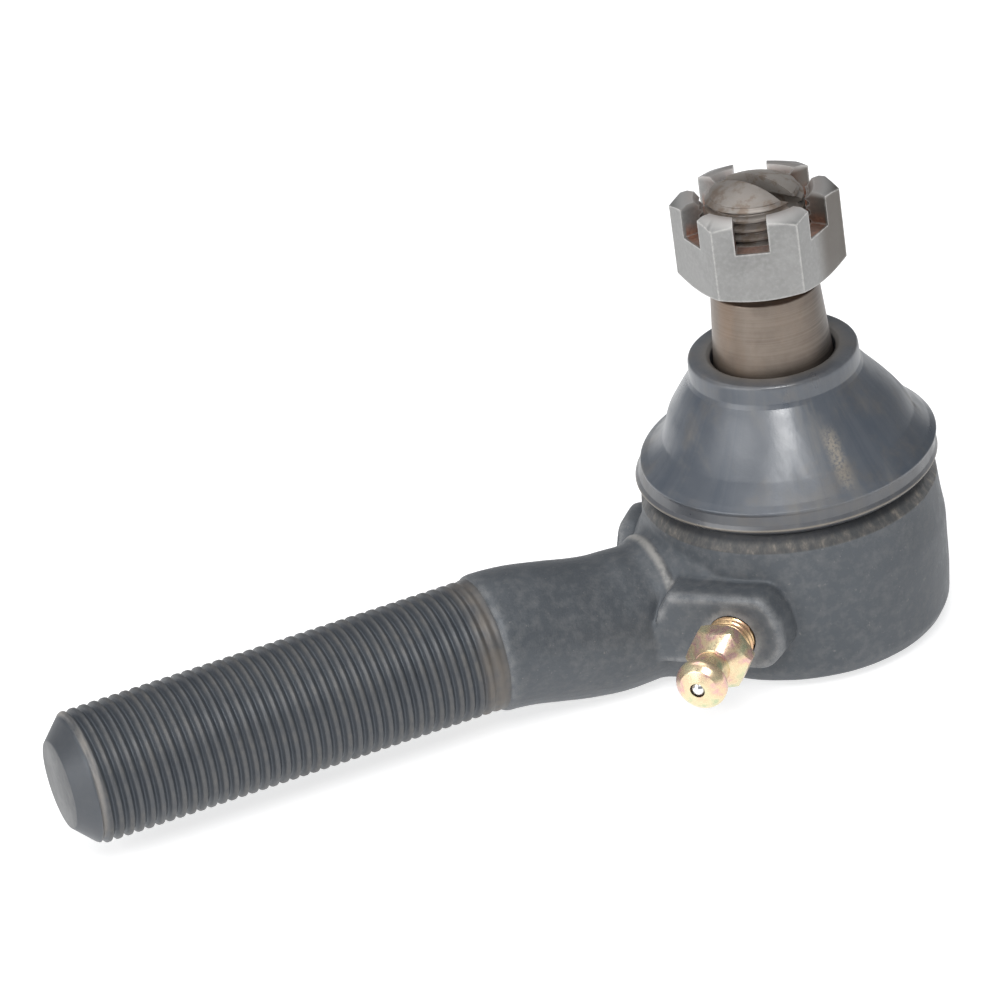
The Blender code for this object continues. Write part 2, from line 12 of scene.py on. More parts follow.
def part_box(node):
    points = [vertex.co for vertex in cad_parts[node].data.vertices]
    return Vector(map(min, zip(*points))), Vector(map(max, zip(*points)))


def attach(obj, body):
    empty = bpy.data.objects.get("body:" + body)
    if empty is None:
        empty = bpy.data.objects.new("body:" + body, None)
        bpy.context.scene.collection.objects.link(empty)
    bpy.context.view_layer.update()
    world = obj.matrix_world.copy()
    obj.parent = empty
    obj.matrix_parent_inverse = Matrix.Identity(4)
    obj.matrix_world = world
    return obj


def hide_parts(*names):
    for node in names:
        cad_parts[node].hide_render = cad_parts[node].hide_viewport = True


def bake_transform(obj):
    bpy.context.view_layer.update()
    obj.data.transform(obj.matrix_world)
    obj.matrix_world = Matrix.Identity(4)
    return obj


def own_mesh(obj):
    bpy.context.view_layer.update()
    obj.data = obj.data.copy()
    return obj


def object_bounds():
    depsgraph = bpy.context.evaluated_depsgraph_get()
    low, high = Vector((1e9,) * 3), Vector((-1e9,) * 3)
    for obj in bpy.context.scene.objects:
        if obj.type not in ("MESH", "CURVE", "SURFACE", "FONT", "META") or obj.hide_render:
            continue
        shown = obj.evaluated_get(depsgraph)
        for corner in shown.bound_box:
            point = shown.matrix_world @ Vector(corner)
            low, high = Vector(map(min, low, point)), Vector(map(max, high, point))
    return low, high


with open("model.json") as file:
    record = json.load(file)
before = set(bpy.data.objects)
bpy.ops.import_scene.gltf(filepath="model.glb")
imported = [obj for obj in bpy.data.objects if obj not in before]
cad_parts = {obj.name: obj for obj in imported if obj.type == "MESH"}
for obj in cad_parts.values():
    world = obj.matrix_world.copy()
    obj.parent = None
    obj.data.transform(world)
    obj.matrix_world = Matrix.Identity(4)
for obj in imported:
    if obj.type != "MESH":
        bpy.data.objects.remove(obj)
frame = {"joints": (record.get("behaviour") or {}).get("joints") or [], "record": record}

MM = 0.001
WELD = 0.002  # distance, in millimetres, under which two points are the same point


def box_corners():
    """The whole object's box as it is now, in metres."""
    low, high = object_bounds()
    return [list(low), list(high)]


cad_corners = box_corners()


# ---------------------------------------------------------------- places read from the frame


def extent(node):
    """Lowest and highest corner of a CAD node, in millimetres."""
    low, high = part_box(node)
    return low / MM, high / MM


def joint(name):
    return next(j for j in frame["joints"] if j["name"] == name)


def mount(name):
    return next(m for m in frame["record"]["mounts"] if m["name"] == name)


BALL_Z = joint("stud_swing")["pos_m"][2] / MM
BALL_R = extent("ball_stud")[1].x
STUD_TOP = extent("ball_stud")[1].z
STUD_LOW = extent("ball_stud")[0].z
NUT_LOW = extent("slotted_nut")[0].z
NUT_TOP = extent("slotted_nut")[1].z
NUT_FLATS = 18.75
NUT_TURN = math.radians(3.9)
NUT_SLOTS = (4.3, 4.35)  # width and depth
NUT_SLOT_SHIFT = (-0.45, 0.15)  # the slots are sawn a little off the nut's middle
NUT_FACE_R = 8.7  # the flat left by the chamfer at each end
NUT_CORNER_R = NUT_FLATS / 2 / math.cos(math.pi / 6)
STUD_THREAD = (6.35, 5.6, 25.4 / 20)  # crest radius, root radius, pitch
NUT_THREAD = (7.15, 6.62, 25.4 / 20)  # cut wider than the stud's, so that the two stay apart
NECK_R = 5.2
TAPER_LARGE = (7.9, 36.4)  # radius and height of the taper's large end, then of its small one
TAPER_SMALL = (7.0, NUT_LOW - 1.7)
STUD_DOME = (11.4, 1.47)  # radius of the rounded end and its height above the thread
STUD_SLOT = (2.3, 2.1, math.radians(-66))  # width, depth, direction
PIN_HOLE = (1.6, STUD_TOP - 3.4)  # radius and height

COLLAR_TOP = extent("socket_housing")[1].z
FACE_Z = extent("dust_cover")[0].z - 0.3
SEAT_LOW_Z = FACE_Z - 2.2
SHANK_END = Vector(mount("shank_end")["pos_m"]) / MM
SHANK_THREAD = (8.73, 8.1, 25.4 / 18)  # crest radius, root radius, pitch
SHANK_CHAMFER = (5.8, 2.9)  # radius of the end face, length of the cone behind it
THREAD_START_X = -45.0
FORGING_GRID = 0.28
FORGING_WAVES = (0.035, 3.0)  # height and length of the surface's waves
SWEPT_R = 9.17
NECK_ROOT_R = 9.0
NECK_Z = 8.35
NECK_BEND_X = (-26.5, -44.0)
CRESCENT_X = (-21.6, -20.6)  # where the flare's rim gets a painted highlight

BOOT_LOW = extent("dust_cover")[0].z
BOOT_TOP = extent("dust_cover")[1].z
BOOT_R = extent("dust_cover")[1].x
BOOT_SEAM = BOOT_LOW + 8.7
BOOT_SLACK_SIDE = (-0.75, 0.66)  # the direction on whose side the fold is drawn in
BOOT_DRAWN_IN = 1.6
BOOT_LEAN = 0.4
BOOT_VENT = (15.8, -6.5, 28.7)  # a pinprick through the flank, drawn only as a painted dark spot of shade
PALE_TAN_STREAK_X = (-0.5, 1.1)
PALE_TAN_STREAK_Z = (27.4, 33.0)

INWARD = Vector(joint("check_ball_travel")["axis"])
CHECK_BALL = sum(extent("fitting_check_ball"), Vector()) / 2
CHECK_BALL_R = (extent("fitting_check_ball")[1].z - extent("fitting_check_ball")[0].z) / 2
# the grease fitting, with heights measured out from the near boss's face
CHECK_BALL_AT = 12.2
FITTING_TIP = 13.3
FITTING_FLATS = 7.7
FITTING_THREAD = (3.15, 2.9, 25.4 / 28)  # crest radius, root radius, pitch
FITTING_SEAT = CHECK_BALL + INWARD * CHECK_BALL_AT
NEAR_BOSS_REACH = -FITTING_SEAT.dot(INWARD)
FAR_BOSS_REACH = NEAR_BOSS_REACH - 1.5
BOSS_MIDDLE = Vector((-1.0, 10.4))  # the point that a boss's outline grows from, toward its root
BOSS_SPREAD = 1.03

# the pieces inside the socket: radii, and heights above the cover
RACE_R = 12.3
RACE_BORE_R = 9.3
UPPER_RACE_TOP = 16.95
LOWER_RACE_LOW = 3.1
HALF_BALL_R = 9.0
HALF_BALL_BORE_R = 5.5
HALF_BALL_TOP = BALL_Z + 6.2
SEAL_RING = (13.0, 2.15, 0.35)  # radius, height, and radius of its round section

# outlines of the two bosses' faces: distance toward the stud's far side, height, corner radius
NEAR_BOSS = (
    (-11.1, 10.5),
    (-10.4, 13.4, 1.0),
    (-9.0, 15.7, 0.8),
    (4.1, 16.0, 2.6),
    (5.9, 12.6, 3.0),
    (6.4, 8.6, 3.0),
    (3.8, 5.6, 3.0),
    (-11.1, 5.6),
)
FAR_BOSS = (
    (-7.9, 12.0),
    (-6.0, 15.2, 2.4),
    (-0.5, 15.5, 4.0),
    (4.6, 12.9, 3.0),
    (5.8, 9.6, 3.0),
    (3.6, 5.7, 3.0),
    (-7.9, 5.6),
)


# ---------------------------------------------------------------- mesh tools


def add_object(name, mesh):
    thing = bpy.data.objects.new(name, mesh)
    bpy.context.scene.collection.objects.link(thing)
    return thing


def mesh_object(name, vertices, faces):
    """An object from points in millimetres, with doubled points merged and faces outward."""
    mesh = bpy.data.meshes.new(name)
    mesh.from_pydata([Vector(v) * MM for v in vertices], [], faces)
    thing = add_object(name, mesh)
    weld(thing)
    return thing


def weld(thing):
    shape = bmesh.new()
    shape.from_mesh(thing.data)
    bmesh.ops.remove_doubles(shape, verts=shape.verts, dist=WELD * MM)
    bmesh.ops.dissolve_degenerate(shape, edges=shape.edges, dist=WELD * MM * 0.1)
    bmesh.ops.recalc_face_normals(shape, faces=shape.faces)
    shape.to_mesh(thing.data)
    shape.free()


def settle(thing):
    """Replace an object's mesh with what its modifiers make of it."""
    view = bpy.context.evaluated_depsgraph_get()
    mesh = bpy.data.meshes.new_from_object(thing.evaluated_get(view))
    thing.modifiers.clear()
    thing.data = mesh
    return thing


def combine(target, operation, *tools):
    """Join (UNION), cut (DIFFERENCE) or INTERSECT the target with tools, which are used up."""
    for tool in tools:
        step = target.modifiers.new(tool.name, "BOOLEAN")
        step.operation = operation
        step.solver = "EXACT"
        step.object = tool
    settle(target)
    for tool in tools:
        bpy.data.objects.remove(tool)
    return target


def soften_edges(thing, width, segments, degrees):
    bevel = thing.modifiers.new("edge", "BEVEL")
    bevel.width = width * MM
    bevel.segments = segments
    bevel.limit_method = "ANGLE"
    bevel.angle_limit = math.radians(degrees)
    bevel.harden_normals = False
    return settle(thing)


def roughen(thing, depth, grain):
    """Give a surface the slight waviness of a forging, both sizes in millimetres."""
    moves = [
        v.normal * (depth * MM * lattice_noise(v.co / (grain * MM))) for v in thing.data.vertices
    ]
    for vertex, move in zip(thing.data.vertices, moves):
        vertex.co += move


def shade(thing, degrees):
    thing.data.shade_smooth()
    thing.data.set_sharp_from_angle(angle=math.radians(degrees))


def rounded(points, closed=False, steps=5):
    """An outline whose corners (radius, height, fillet) are softened by their fillet."""
    outline = []
    count = len(points)
    for i, point in enumerate(points):
        here = Vector(point[:2])
        fillet = point[2] if len(point) > 2 else 0.0
        if not fillet or (not closed and i in (0, count - 1)):
            outline.append(here)
            continue
        before = Vector(points[i - 1][:2]) - here
        after = Vector(points[(i + 1) % count][:2]) - here
        reach = fillet / math.tan(before.angle(after) / 2)
        first = here + before.normalized() * min(reach, before.length * 0.48)
        last = here + after.normalized() * min(reach, after.length * 0.48)
        for k in range(steps + 1):
            t = k / steps
            outline.append(first * (1 - t) ** 2 + here * 2 * t * (1 - t) + last * t**2)
    return outline


def divided(outline, longest, closed=False):
    """The same outline with extra points, so that no run between two is over the longest."""
    dense = []
    ends = outline[1:] + outline[:1] if closed else outline[1:]
    for a, b in zip(outline, ends):
        pieces = max(1, math.ceil((b - a).length / longest))
        dense += [a.lerp(b, k / pieces) for k in range(pieces)]
    return dense if closed else dense + outline[-1:]


def spun(name, outline, segments=144, closed=False):
    """A turned shape about Z from an outline of (radius, height) down its outer side."""
    points = [Vector(p[:2]) for p in outline]
    rows = len(points)
    vertices = []
    for i in range(segments):
        turn = 2 * math.pi * i / segments
        vertices += [(p.x * math.cos(turn), p.x * math.sin(turn), p.y) for p in points]
    faces = []
    for i in range(segments):
        here, there = i * rows, (i + 1) % segments * rows
        for j in range(rows if closed else rows - 1):
            k = (j + 1) % rows
            faces.append((here + j, here + k, there + k, there + j))
    return mesh_object(name, vertices, faces)


def arc(radius, centre_z, low, high, steps):
    """A ball's outline from one height to another, as (radius, height)."""
    first = math.acos((low - centre_z) / radius)
    last = math.acos((high - centre_z) / radius)
    angles = [first + (last - first) * i / steps for i in range(steps + 1)]
    return [(radius * math.sin(a), centre_z + radius * math.cos(a)) for a in angles]


def ring_section(radius, height, thickness, steps=20):
    """The round section of a ring, as (radius, height), from its top toward its outer side."""
    turns = [2 * math.pi * i / steps for i in range(steps)]
    return [(radius + thickness * math.sin(a), height + thickness * math.cos(a)) for a in turns]


def block(name, size, centre, turn=0.0):
    mesh = bpy.data.meshes.new(name)
    shape = bmesh.new()
    bmesh.ops.create_cube(shape, size=1.0)
    bmesh.ops.scale(shape, vec=Vector(size) * MM, verts=shape.verts)
    shape.to_mesh(mesh)
    shape.free()
    thing = add_object(name, mesh)
    thing.matrix_world = Matrix.Translation(Vector(centre) * MM) @ Matrix.Rotation(turn, 4, "Z")
    return thing


def regular_prism(name, sides, flats, low, high, turn=0.0):
    """A prism with regular sides, one pair of flats facing along the turn."""
    mesh = bpy.data.meshes.new(name)
    shape = bmesh.new()
    radius = flats / 2 / math.cos(math.pi / sides) * MM
    bmesh.ops.create_cone(
        shape,
        cap_ends=True,
        segments=sides,
        radius1=radius,
        radius2=radius,
        depth=(high - low) * MM,
    )
    # the cone's first corner lies along +Y, which for six sides puts a flat along +X
    bmesh.ops.rotate(shape, verts=shape.verts, matrix=Matrix.Rotation(turn, 3, "Z"))
    bmesh.ops.translate(shape, verts=shape.verts, vec=Vector((0, 0, (low + high) / 2 * MM)))
    shape.to_mesh(mesh)
    shape.free()
    return add_object(name, mesh)


def tube(name, stops, radius, resolution):
    """A round bar through stops of (x, y, z, share of the full radius)."""
    curve = bpy.data.curves.new(name + "_path", "CURVE")
    curve.dimensions = "3D"
    curve.bevel_depth = radius * MM
    curve.bevel_resolution = resolution
    curve.use_fill_caps = True
    line = curve.splines.new("POLY")
    line.points.add(len(stops) - 1)
    for point, (x, y, z, share) in zip(line.points, stops):
        point.co = (x * MM, y * MM, z * MM, 1)
        point.radius = share
    drawn = add_object(name + "_curve", curve)
    bar = add_object(name, bpy.data.meshes.new_from_object(drawn))
    bpy.data.objects.remove(drawn)
    weld(bar)
    return bar


# one turn of a thread: share of the pitch, share of the thread's depth
THREAD_FORM = (
    (0.00, 1.0),
    (0.16, 1.0),
    (0.30, 0.52),
    (0.43, 0.08),
    (0.53, 0.0),
    (0.63, 0.08),
    (0.78, 0.52),
    (0.92, 1.0),
)


def threaded(name, below, thread, start, end, face, above, columns=112, slope=1.0, fade=0.001):
    """A bar along Z with a helical thread from start to end.

    face is the radius at the end, which the thread reaches along a cone of the given slope;
    over the first stretch of the thread, fade millimetres long, its roots rise to its crests.
    """
    crest, root, pitch = thread
    turns = range(-1, int((end - start) / pitch) + 2)
    vertices = []
    for i in range(columns + 1):
        turn = 2 * math.pi * i / columns
        line = list(below)
        for lap in turns:
            for share, depth in THREAD_FORM:
                height = start + pitch * (lap + share + i / columns)
                faded = max(0.0, 1.0 - (height - start) / fade)
                radius = crest - (crest - root) * (1.0 - depth) * (1.0 - faded)
                radius = min(radius, face + (end - height) * slope)
                if height <= start:
                    height, radius = start, below[-1][0]
                elif height >= end:
                    height, radius = end, face
                line.append((radius, height))
        line += above
        vertices += [(r * math.cos(turn), r * math.sin(turn), z) for r, z in line]
    rows = len(below) + len(above) + len(turns) * len(THREAD_FORM)
    faces = []
    for i in range(columns):
        for j in range(rows - 1):
            a = i * rows + j
            faces.append((a, a + 1, a + rows + 1, a + rows))
    return mesh_object(name, vertices, faces)


def along_shank(thing, height):
    """Lay a shape built up Z along the shank: its Z becomes the frame's -X."""
    thing.data.transform(
        Matrix.Translation((0, 0, height * MM)) @ Matrix.Rotation(-math.pi / 2, 4, "Y")
    )
    return thing


def fitting_frame():
    """The grease fitting's own frame: +Z out of the near boss's face."""
    turn = (-INWARD).to_track_quat("Z", "X").to_matrix().to_4x4()
    return Matrix.Translation(FITTING_SEAT * MM) @ turn


def in_fitting(thing):
    thing.data.transform(fitting_frame())
    return thing


# ---------------------------------------------------------------- finishes


def node(tree, kind, inputs=None, **settings):
    """Add a node; an input is linked when its value is a socket and set when it isn't."""
    made = tree.nodes.new(kind)
    for key, value in settings.items():
        setattr(made, key, value)
    for key, value in (inputs or {}).items():
        if isinstance(value, bpy.types.NodeSocket):
            tree.links.new(value, made.inputs[key])
        else:
            made.inputs[key].default_value = value
    return made


def start_look(name, metallic, roughness, specular=0.5):
    """A material with its shader, tree and object coordinates."""
    look = bpy.data.materials.new(name)
    look.use_nodes = True
    shader = look.node_tree.nodes["Principled BSDF"]
    shader.inputs["Metallic"].default_value = metallic
    shader.inputs["Roughness"].default_value = roughness
    shader.inputs["Specular IOR Level"].default_value = specular
    where = node(look.node_tree, "ShaderNodeTexCoord").outputs["Object"]
    return look, look.node_tree, shader, where


def stretched(tree, where, scale):
    return node(
        tree, "ShaderNodeMapping", {"Vector": where, "Scale": scale}, vector_type="POINT"
    ).outputs["Vector"]


def noise(tree, where, scale, detail=4.0, rough=0.55):
    settings = {"Vector": where, "Scale": scale, "Detail": detail, "Roughness": rough}
    return node(tree, "ShaderNodeTexNoise", settings).outputs["Fac"]


def ramp(tree, value, *stops):
    """Colour by value; each stop is (position, (r, g, b))."""
    made = node(tree, "ShaderNodeValToRGB", {"Fac": value})
    elements = made.color_ramp.elements
    while len(elements) < len(stops):
        elements.new(0.5)
    for element, (position, colour) in zip(elements, stops):
        element.position = position
        element.color = (*colour, 1.0)
    return made.outputs["Color"]


def span(tree, value, low, high, to_low=0.0, to_high=1.0):
    """Value mapped smoothly from one range to another."""
    settings = {
        "Value": value,
        "From Min": low,
        "From Max": high,
        "To Min": to_low,
        "To Max": to_high,
    }
    return node(
        tree, "ShaderNodeMapRange", settings, interpolation_type="SMOOTHSTEP"
    ).outputs["Result"]


def calc(tree, operation, a, b):
    return node(tree, "ShaderNodeMath", {0: a, 1: b}, operation=operation).outputs[0]


def times(tree, *factors):
    """The product of two or more values."""
    product = factors[0]
    for factor in factors[1:]:
        product = calc(tree, "MULTIPLY", product, factor)
    return product


def vectors(tree, operation, a, b=(0.0, 0.0, 0.0)):
    """A node that works on two vectors, whose outputs are Vector and Value."""
    return node(tree, "ShaderNodeVectorMath", {0: a, 1: b}, operation=operation)


def mixed(tree, share, a, b):
    """Colour a, turned to colour b by a share from 0 to 1; b may be plain (r, g, b)."""
    end = (*b, 1.0) if isinstance(b, tuple) else b
    # inputs 6 and 7 and output 2 are the node's colour sockets
    return node(tree, "ShaderNodeMix", {0: share, 6: a, 7: end}, data_type="RGBA").outputs[2]


def layered(tree, colour, *layers):
    """The colour with tints laid over it in turn, each given as (share, tint)."""
    for share, tint in layers:
        colour = mixed(tree, share, colour, tint)
    return colour


def openness(tree, reach, inside):
    """How free the surface is within reach, in millimetres: low in hollows.

    Felt from inside the solid, it is low at ridges instead.
    """
    felt = node(
        tree,
        "ShaderNodeAmbientOcclusion",
        {"Distance": reach * MM},
        samples=8,
        inside=inside,
        only_local=True,
    )
    return felt.outputs["AO"]


def near_edge(tree, width):
    """1 within the given width, in millimetres, of an edge; 0 on open faces."""
    softened = node(tree, "ShaderNodeBevel", {"Radius": width * MM}).outputs["Normal"]
    own = node(tree, "ShaderNodeNewGeometry").outputs["Normal"]
    alike = vectors(tree, "DOT_PRODUCT", softened, own).outputs["Value"]
    return span(tree, alike, 0.995, 0.93)


def bumped(tree, height, depth, strength, under=None):
    """A bump of the given depth in millimetres, on top of another bump if there is one."""
    settings = {"Height": height, "Strength": strength, "Distance": depth * MM}
    if under is not None:
        settings["Normal"] = under
    return node(tree, "ShaderNodeBump", settings).outputs["Normal"]


def distance_from_axis(tree, where, axis, centre=(0.0, 0.0, 0.0)):
    """Distance of the surface from an axis through the centre along X or Z."""
    moved = vectors(tree, "SUBTRACT", where, Vector(centre) * MM).outputs["Vector"]
    kept = (0.0, 1.0, 1.0) if axis == "X" else (1.0, 1.0, 0.0)
    flat = vectors(tree, "MULTIPLY", moved, kept).outputs["Vector"]
    return vectors(tree, "LENGTH", flat).outputs["Value"]


def coordinate(tree, where, axis):
    return node(tree, "ShaderNodeSeparateXYZ", {"Vector": where}).outputs[axis]


def between(tree, value, low, high, blur):
    """1 from low to high with soft ends, 0 outside, all in millimetres."""
    rise = span(tree, value, (low - blur) * MM, (low + blur) * MM)
    fall = span(tree, value, (high + blur) * MM, (high - blur) * MM)
    return times(tree, rise, fall)


def finish_with(tree, shader, colour, roughness=None, normal=None):
    tree.links.new(colour, shader.inputs["Base Color"])
    if roughness is not None:
        tree.links.new(roughness, shader.inputs["Roughness"])
    if normal is not None:
        tree.links.new(normal, shader.inputs["Normal"])


def turned_band(tree, where, high):
    """Where the forging is turned for the boot, and its colour: brown streaks, and a painted shadow
    at its top under the boot.
    """
    turned = times(
        tree,
        span(tree, high, (SEAT_LOW_Z - 0.05) * MM, (SEAT_LOW_Z + 0.25) * MM),
        span(tree, distance_from_axis(tree, where, "Z"), 19.8 * MM, 19.6 * MM),
    )
    streaks = noise(tree, stretched(tree, where, (1100, 1100, 260)), 1.0, 4.0, 0.6)
    brown = ramp(
        tree,
        streaks,
        (0.40, (0.070, 0.072, 0.074)),
        (0.58, (0.11, 0.105, 0.10)),
        (0.76, (0.24, 0.215, 0.18)),
    )
    # painted shadow: the turned band darkened at its top, under the boot
    painted_shadow_under_boot = span(tree, high, (FACE_Z - 1.2) * MM, (FACE_Z - 0.5) * MM, 0.0, 0.85)
    return turned, mixed(tree, painted_shadow_under_boot, brown, (0.022, 0.024, 0.028))


def forged_look():
    """Dark blue-grey phosphated forging: blasted grain, painted shade in its hollows, ridges pale
    from wear and from painted highlight.
    """
    look, tree, shader, where = start_look("forged_phosphate", 0.2, 0.5, 0.3)
    grain = noise(tree, where, 2400, 3.0, 0.6)
    patches = noise(tree, where, 90, 5.0, 0.6)
    fine = noise(tree, where, 700, 5.0, 0.65)
    base = ramp(tree, patches, (0.3, (0.072, 0.080, 0.090)), (0.7, (0.100, 0.109, 0.121)))
    lighter = ramp(tree, fine, (0.45, (0.080, 0.089, 0.099)), (0.75, (0.185, 0.186, 0.187)))
    specks = span(tree, noise(tree, where, 1500, 3.0, 0.7), 0.62, 0.75, 0.0, 0.5)
    # painted shade: the forging darkened in its hollows and fillets, where shade falls
    hollows = span(tree, openness(tree, 2.5, False), 0.92, 0.55, 0.0, 0.6)
    # ridges lightened, partly as rubbed wear and partly as a painted highlight
    ridges = times(
        tree,
        span(tree, openness(tree, 1.8, True), 0.95, 0.6),
        span(tree, fine, 0.25, 0.6, 0.15, 0.75),
    )
    high = coordinate(tree, where, "Z")
    neck_radius = distance_from_axis(tree, where, "X", (0.0, 0.0, NECK_Z))
    # painted highlight along the crescent rim at the neck's flare
    crescent_painted_highlight = times(
        tree,
        between(tree, coordinate(tree, where, "X"), *CRESCENT_X, 0.4),
        between(tree, neck_radius, 9.3, 10.3, 0.3),
        span(tree, high, 3.0 * MM, 9.0 * MM),
        span(tree, fine, 0.3, 0.6, 0.3, 0.85),
    )
    colour = layered(
        tree,
        base,
        (0.45, lighter),
        (specks, (0.22, 0.215, 0.205)),
        (hollows, (0.04, 0.045, 0.052)),
        (ridges, (0.33, 0.33, 0.33)),
        (crescent_painted_highlight, (0.30, 0.29, 0.275)),
        turned_band(tree, where, high),
    )
    roughness = span(tree, fine, 0.3, 0.75, 0.42, 0.6)
    coarse = bumped(tree, noise(tree, where, 420, 5.0, 0.65), 0.11, 0.9)
    normal = bumped(tree, grain, 0.04, 0.9, coarse)
    finish_with(tree, shader, colour, roughness, normal)
    return look


def thread_look():
    """The shank's rolled thread: dark flanks, slightly rubbed crests, brown at its run-out."""
    look, tree, shader, where = start_look("phosphated_thread", 0.3, 0.46, 0.4)
    crest, root, _ = SHANK_THREAD
    radius = distance_from_axis(tree, where, "X", (0.0, 0.0, SHANK_END.z))
    rubbed = span(tree, radius, (root + 0.2 * (crest - root)) * MM, crest * MM)
    patches = noise(tree, where, 160, 5.0, 0.6)
    worn = times(tree, rubbed, span(tree, patches, 0.25, 0.7, 0.5, 1.0))
    dark = ramp(tree, patches, (0.3, (0.062, 0.071, 0.084)), (0.75, (0.086, 0.096, 0.109)))
    fine = noise(tree, where, 900, 4.0)
    pale = ramp(tree, fine, (0.3, (0.072, 0.075, 0.080)), (0.7, (0.115, 0.111, 0.106)))
    along = coordinate(tree, where, "X")
    cone_foot = SHANK_END.x + SHANK_CHAMFER[1]
    cone = span(tree, along, cone_foot * MM, (cone_foot - 1.0) * MM)
    bare = ramp(tree, fine, (0.3, (0.105, 0.108, 0.112)), (0.75, (0.165, 0.163, 0.16)))
    slant = span(tree, radius, (SHANK_CHAMFER[0] - 0.2) * MM, (SHANK_CHAMFER[0] + 0.1) * MM)
    bare = mixed(tree, times(tree, slant, 0.8), bare, (0.068, 0.074, 0.084))
    # the first crest made pale, partly as wear and partly as a painted highlight
    first_crest = times(
        tree,
        between(tree, along, cone_foot - 0.35, cone_foot + 0.25, 0.2),
        span(tree, patches, 0.35, 0.6, 0.1, 0.75),
    )
    run_out = times(
        tree,
        between(tree, along, THREAD_START_X - 3.2, THREAD_START_X - 0.3, 0.8),
        span(tree, patches, 0.35, 0.6, 0.15, 0.7),
    )
    colour = layered(
        tree,
        dark,
        (worn, pale),
        (times(tree, cone, 0.8), bare),
        (first_crest, (0.27, 0.25, 0.23)),
        (run_out, (0.15, 0.13, 0.11)),
    )
    normal = bumped(tree, noise(tree, where, 1800, 3.0), 0.015, 0.6)
    finish_with(tree, shader, colour, span(tree, patches, 0.2, 0.8, 0.38, 0.54), normal)
    return look


def taper_look():
    """Ground taper with a brown tint, fine turning lines and a paler threaded end."""
    look, tree, shader, where = start_look("ground_taper", 0.75, 0.35, 0.5)
    lines = noise(tree, stretched(tree, where, (60, 60, 5200)), 1.0, 3.0, 0.6)
    clouds = noise(tree, where, 140, 5.0, 0.6)
    brown = ramp(
        tree,
        clouds,
        (0.3, (0.122, 0.096, 0.078)),
        (0.55, (0.200, 0.164, 0.136)),
        (0.75, (0.148, 0.119, 0.098)),
    )
    upright = noise(tree, stretched(tree, where, (230, 230, 70)), 1.0, 4.0)
    warm = span(tree, upright, 0.44, 0.74, 0.0, 0.32)
    # painted shade: the taper's far side, away from the lamps, darkened
    shaded = span(tree, coordinate(tree, where, "X"), 1.0 * MM, 5.0 * MM, 0.0, 0.95)
    tip = ramp(tree, clouds, (0.3, (0.24, 0.216, 0.197)), (0.7, (0.38, 0.355, 0.33)))
    high = coordinate(tree, where, "Z")
    above = span(tree, high, (NUT_LOW + 2.0) * MM, (NUT_LOW + 4.0) * MM)
    stains = span(tree, noise(tree, where, 420, 5.0, 0.65), 0.46, 0.62, 0.0, 0.8)
    tip = mixed(tree, stains, tip, (0.20, 0.15, 0.115))
    colour = layered(
        tree,
        brown,
        (warm, (0.30, 0.185, 0.11)),
        (shaded, (0.085, 0.072, 0.064)),
        (above, tip),
        (span(tree, lines, 0.3, 0.7, 0.0, 0.25), (0.30, 0.26, 0.22)),
    )
    duller = times(tree, above, 0.18)
    roughness = calc(tree, "ADD", span(tree, clouds, 0.2, 0.8, 0.32, 0.46), duller)
    finish_with(tree, shader, colour, roughness, bumped(tree, lines, 0.012, 0.5))
    return look


def nut_look():
    """Grey zinc with painted shade on its far side, edges bright from wear and from painted
    highlight, and rust low in the slots.
    """
    look, tree, shader, where = start_look("zinc_nut", 0.7, 0.42, 0.5)
    clouds = noise(tree, where, 220, 6.0, 0.62)
    fine = noise(tree, where, 1900, 4.0, 0.6)
    grey = ramp(tree, clouds, (0.3, (0.215, 0.213, 0.208)), (0.7, (0.295, 0.293, 0.288)))
    mottled = span(tree, fine, 0.35, 0.8, 0.0, 0.35)
    # painted shade: the nut's far side, away from the lamps, darkened
    painted_shade_far_side = span(tree, coordinate(tree, where, "X"), 3.5 * MM, 6.5 * MM, 0.0, 0.9)
    high = coordinate(tree, where, "Z")
    top = span(tree, high, (NUT_TOP - 0.9) * MM, (NUT_TOP - 0.1) * MM, 0.0, 0.8)
    axial = distance_from_axis(tree, where, "Z")
    near_bore = span(tree, axial, 9.6 * MM, 7.0 * MM, 0.0, 0.3)
    slot_floor = NUT_TOP - NUT_SLOTS[1]
    low = span(tree, high, (slot_floor + 2.4) * MM, (slot_floor + 0.1) * MM)
    stained = times(tree, low, span(tree, axial, 9.35 * MM, 9.1 * MM))
    amount = calc(tree, "MAXIMUM", near_bore, stained)
    amount = times(tree, amount, span(tree, clouds, 0.25, 0.65, 0.35, 1.0))
    rust = ramp(tree, fine, (0.3, (0.20, 0.085, 0.050)), (0.7, (0.38, 0.19, 0.12)))
    # edges brightened, partly as rubbed wear and partly as a painted highlight
    rubbed = times(tree, near_edge(tree, 0.42), span(tree, fine, 0.3, 0.6, 0.4, 0.9))
    colour = layered(
        tree,
        grey,
        (mottled, (0.38, 0.38, 0.37)),
        (painted_shade_far_side, (0.110, 0.097, 0.084)),
        (top, (0.53, 0.515, 0.50)),
        (amount, rust),
        (rubbed, (0.55, 0.54, 0.52)),
    )
    duller = times(tree, amount, 0.25)
    roughness = calc(tree, "ADD", span(tree, clouds, 0.2, 0.8, 0.34, 0.48), duller)
    normal = bumped(tree, fine, 0.012, 0.6, bumped(tree, clouds, 0.04, 0.35))
    finish_with(tree, shader, colour, roughness, normal)
    return look


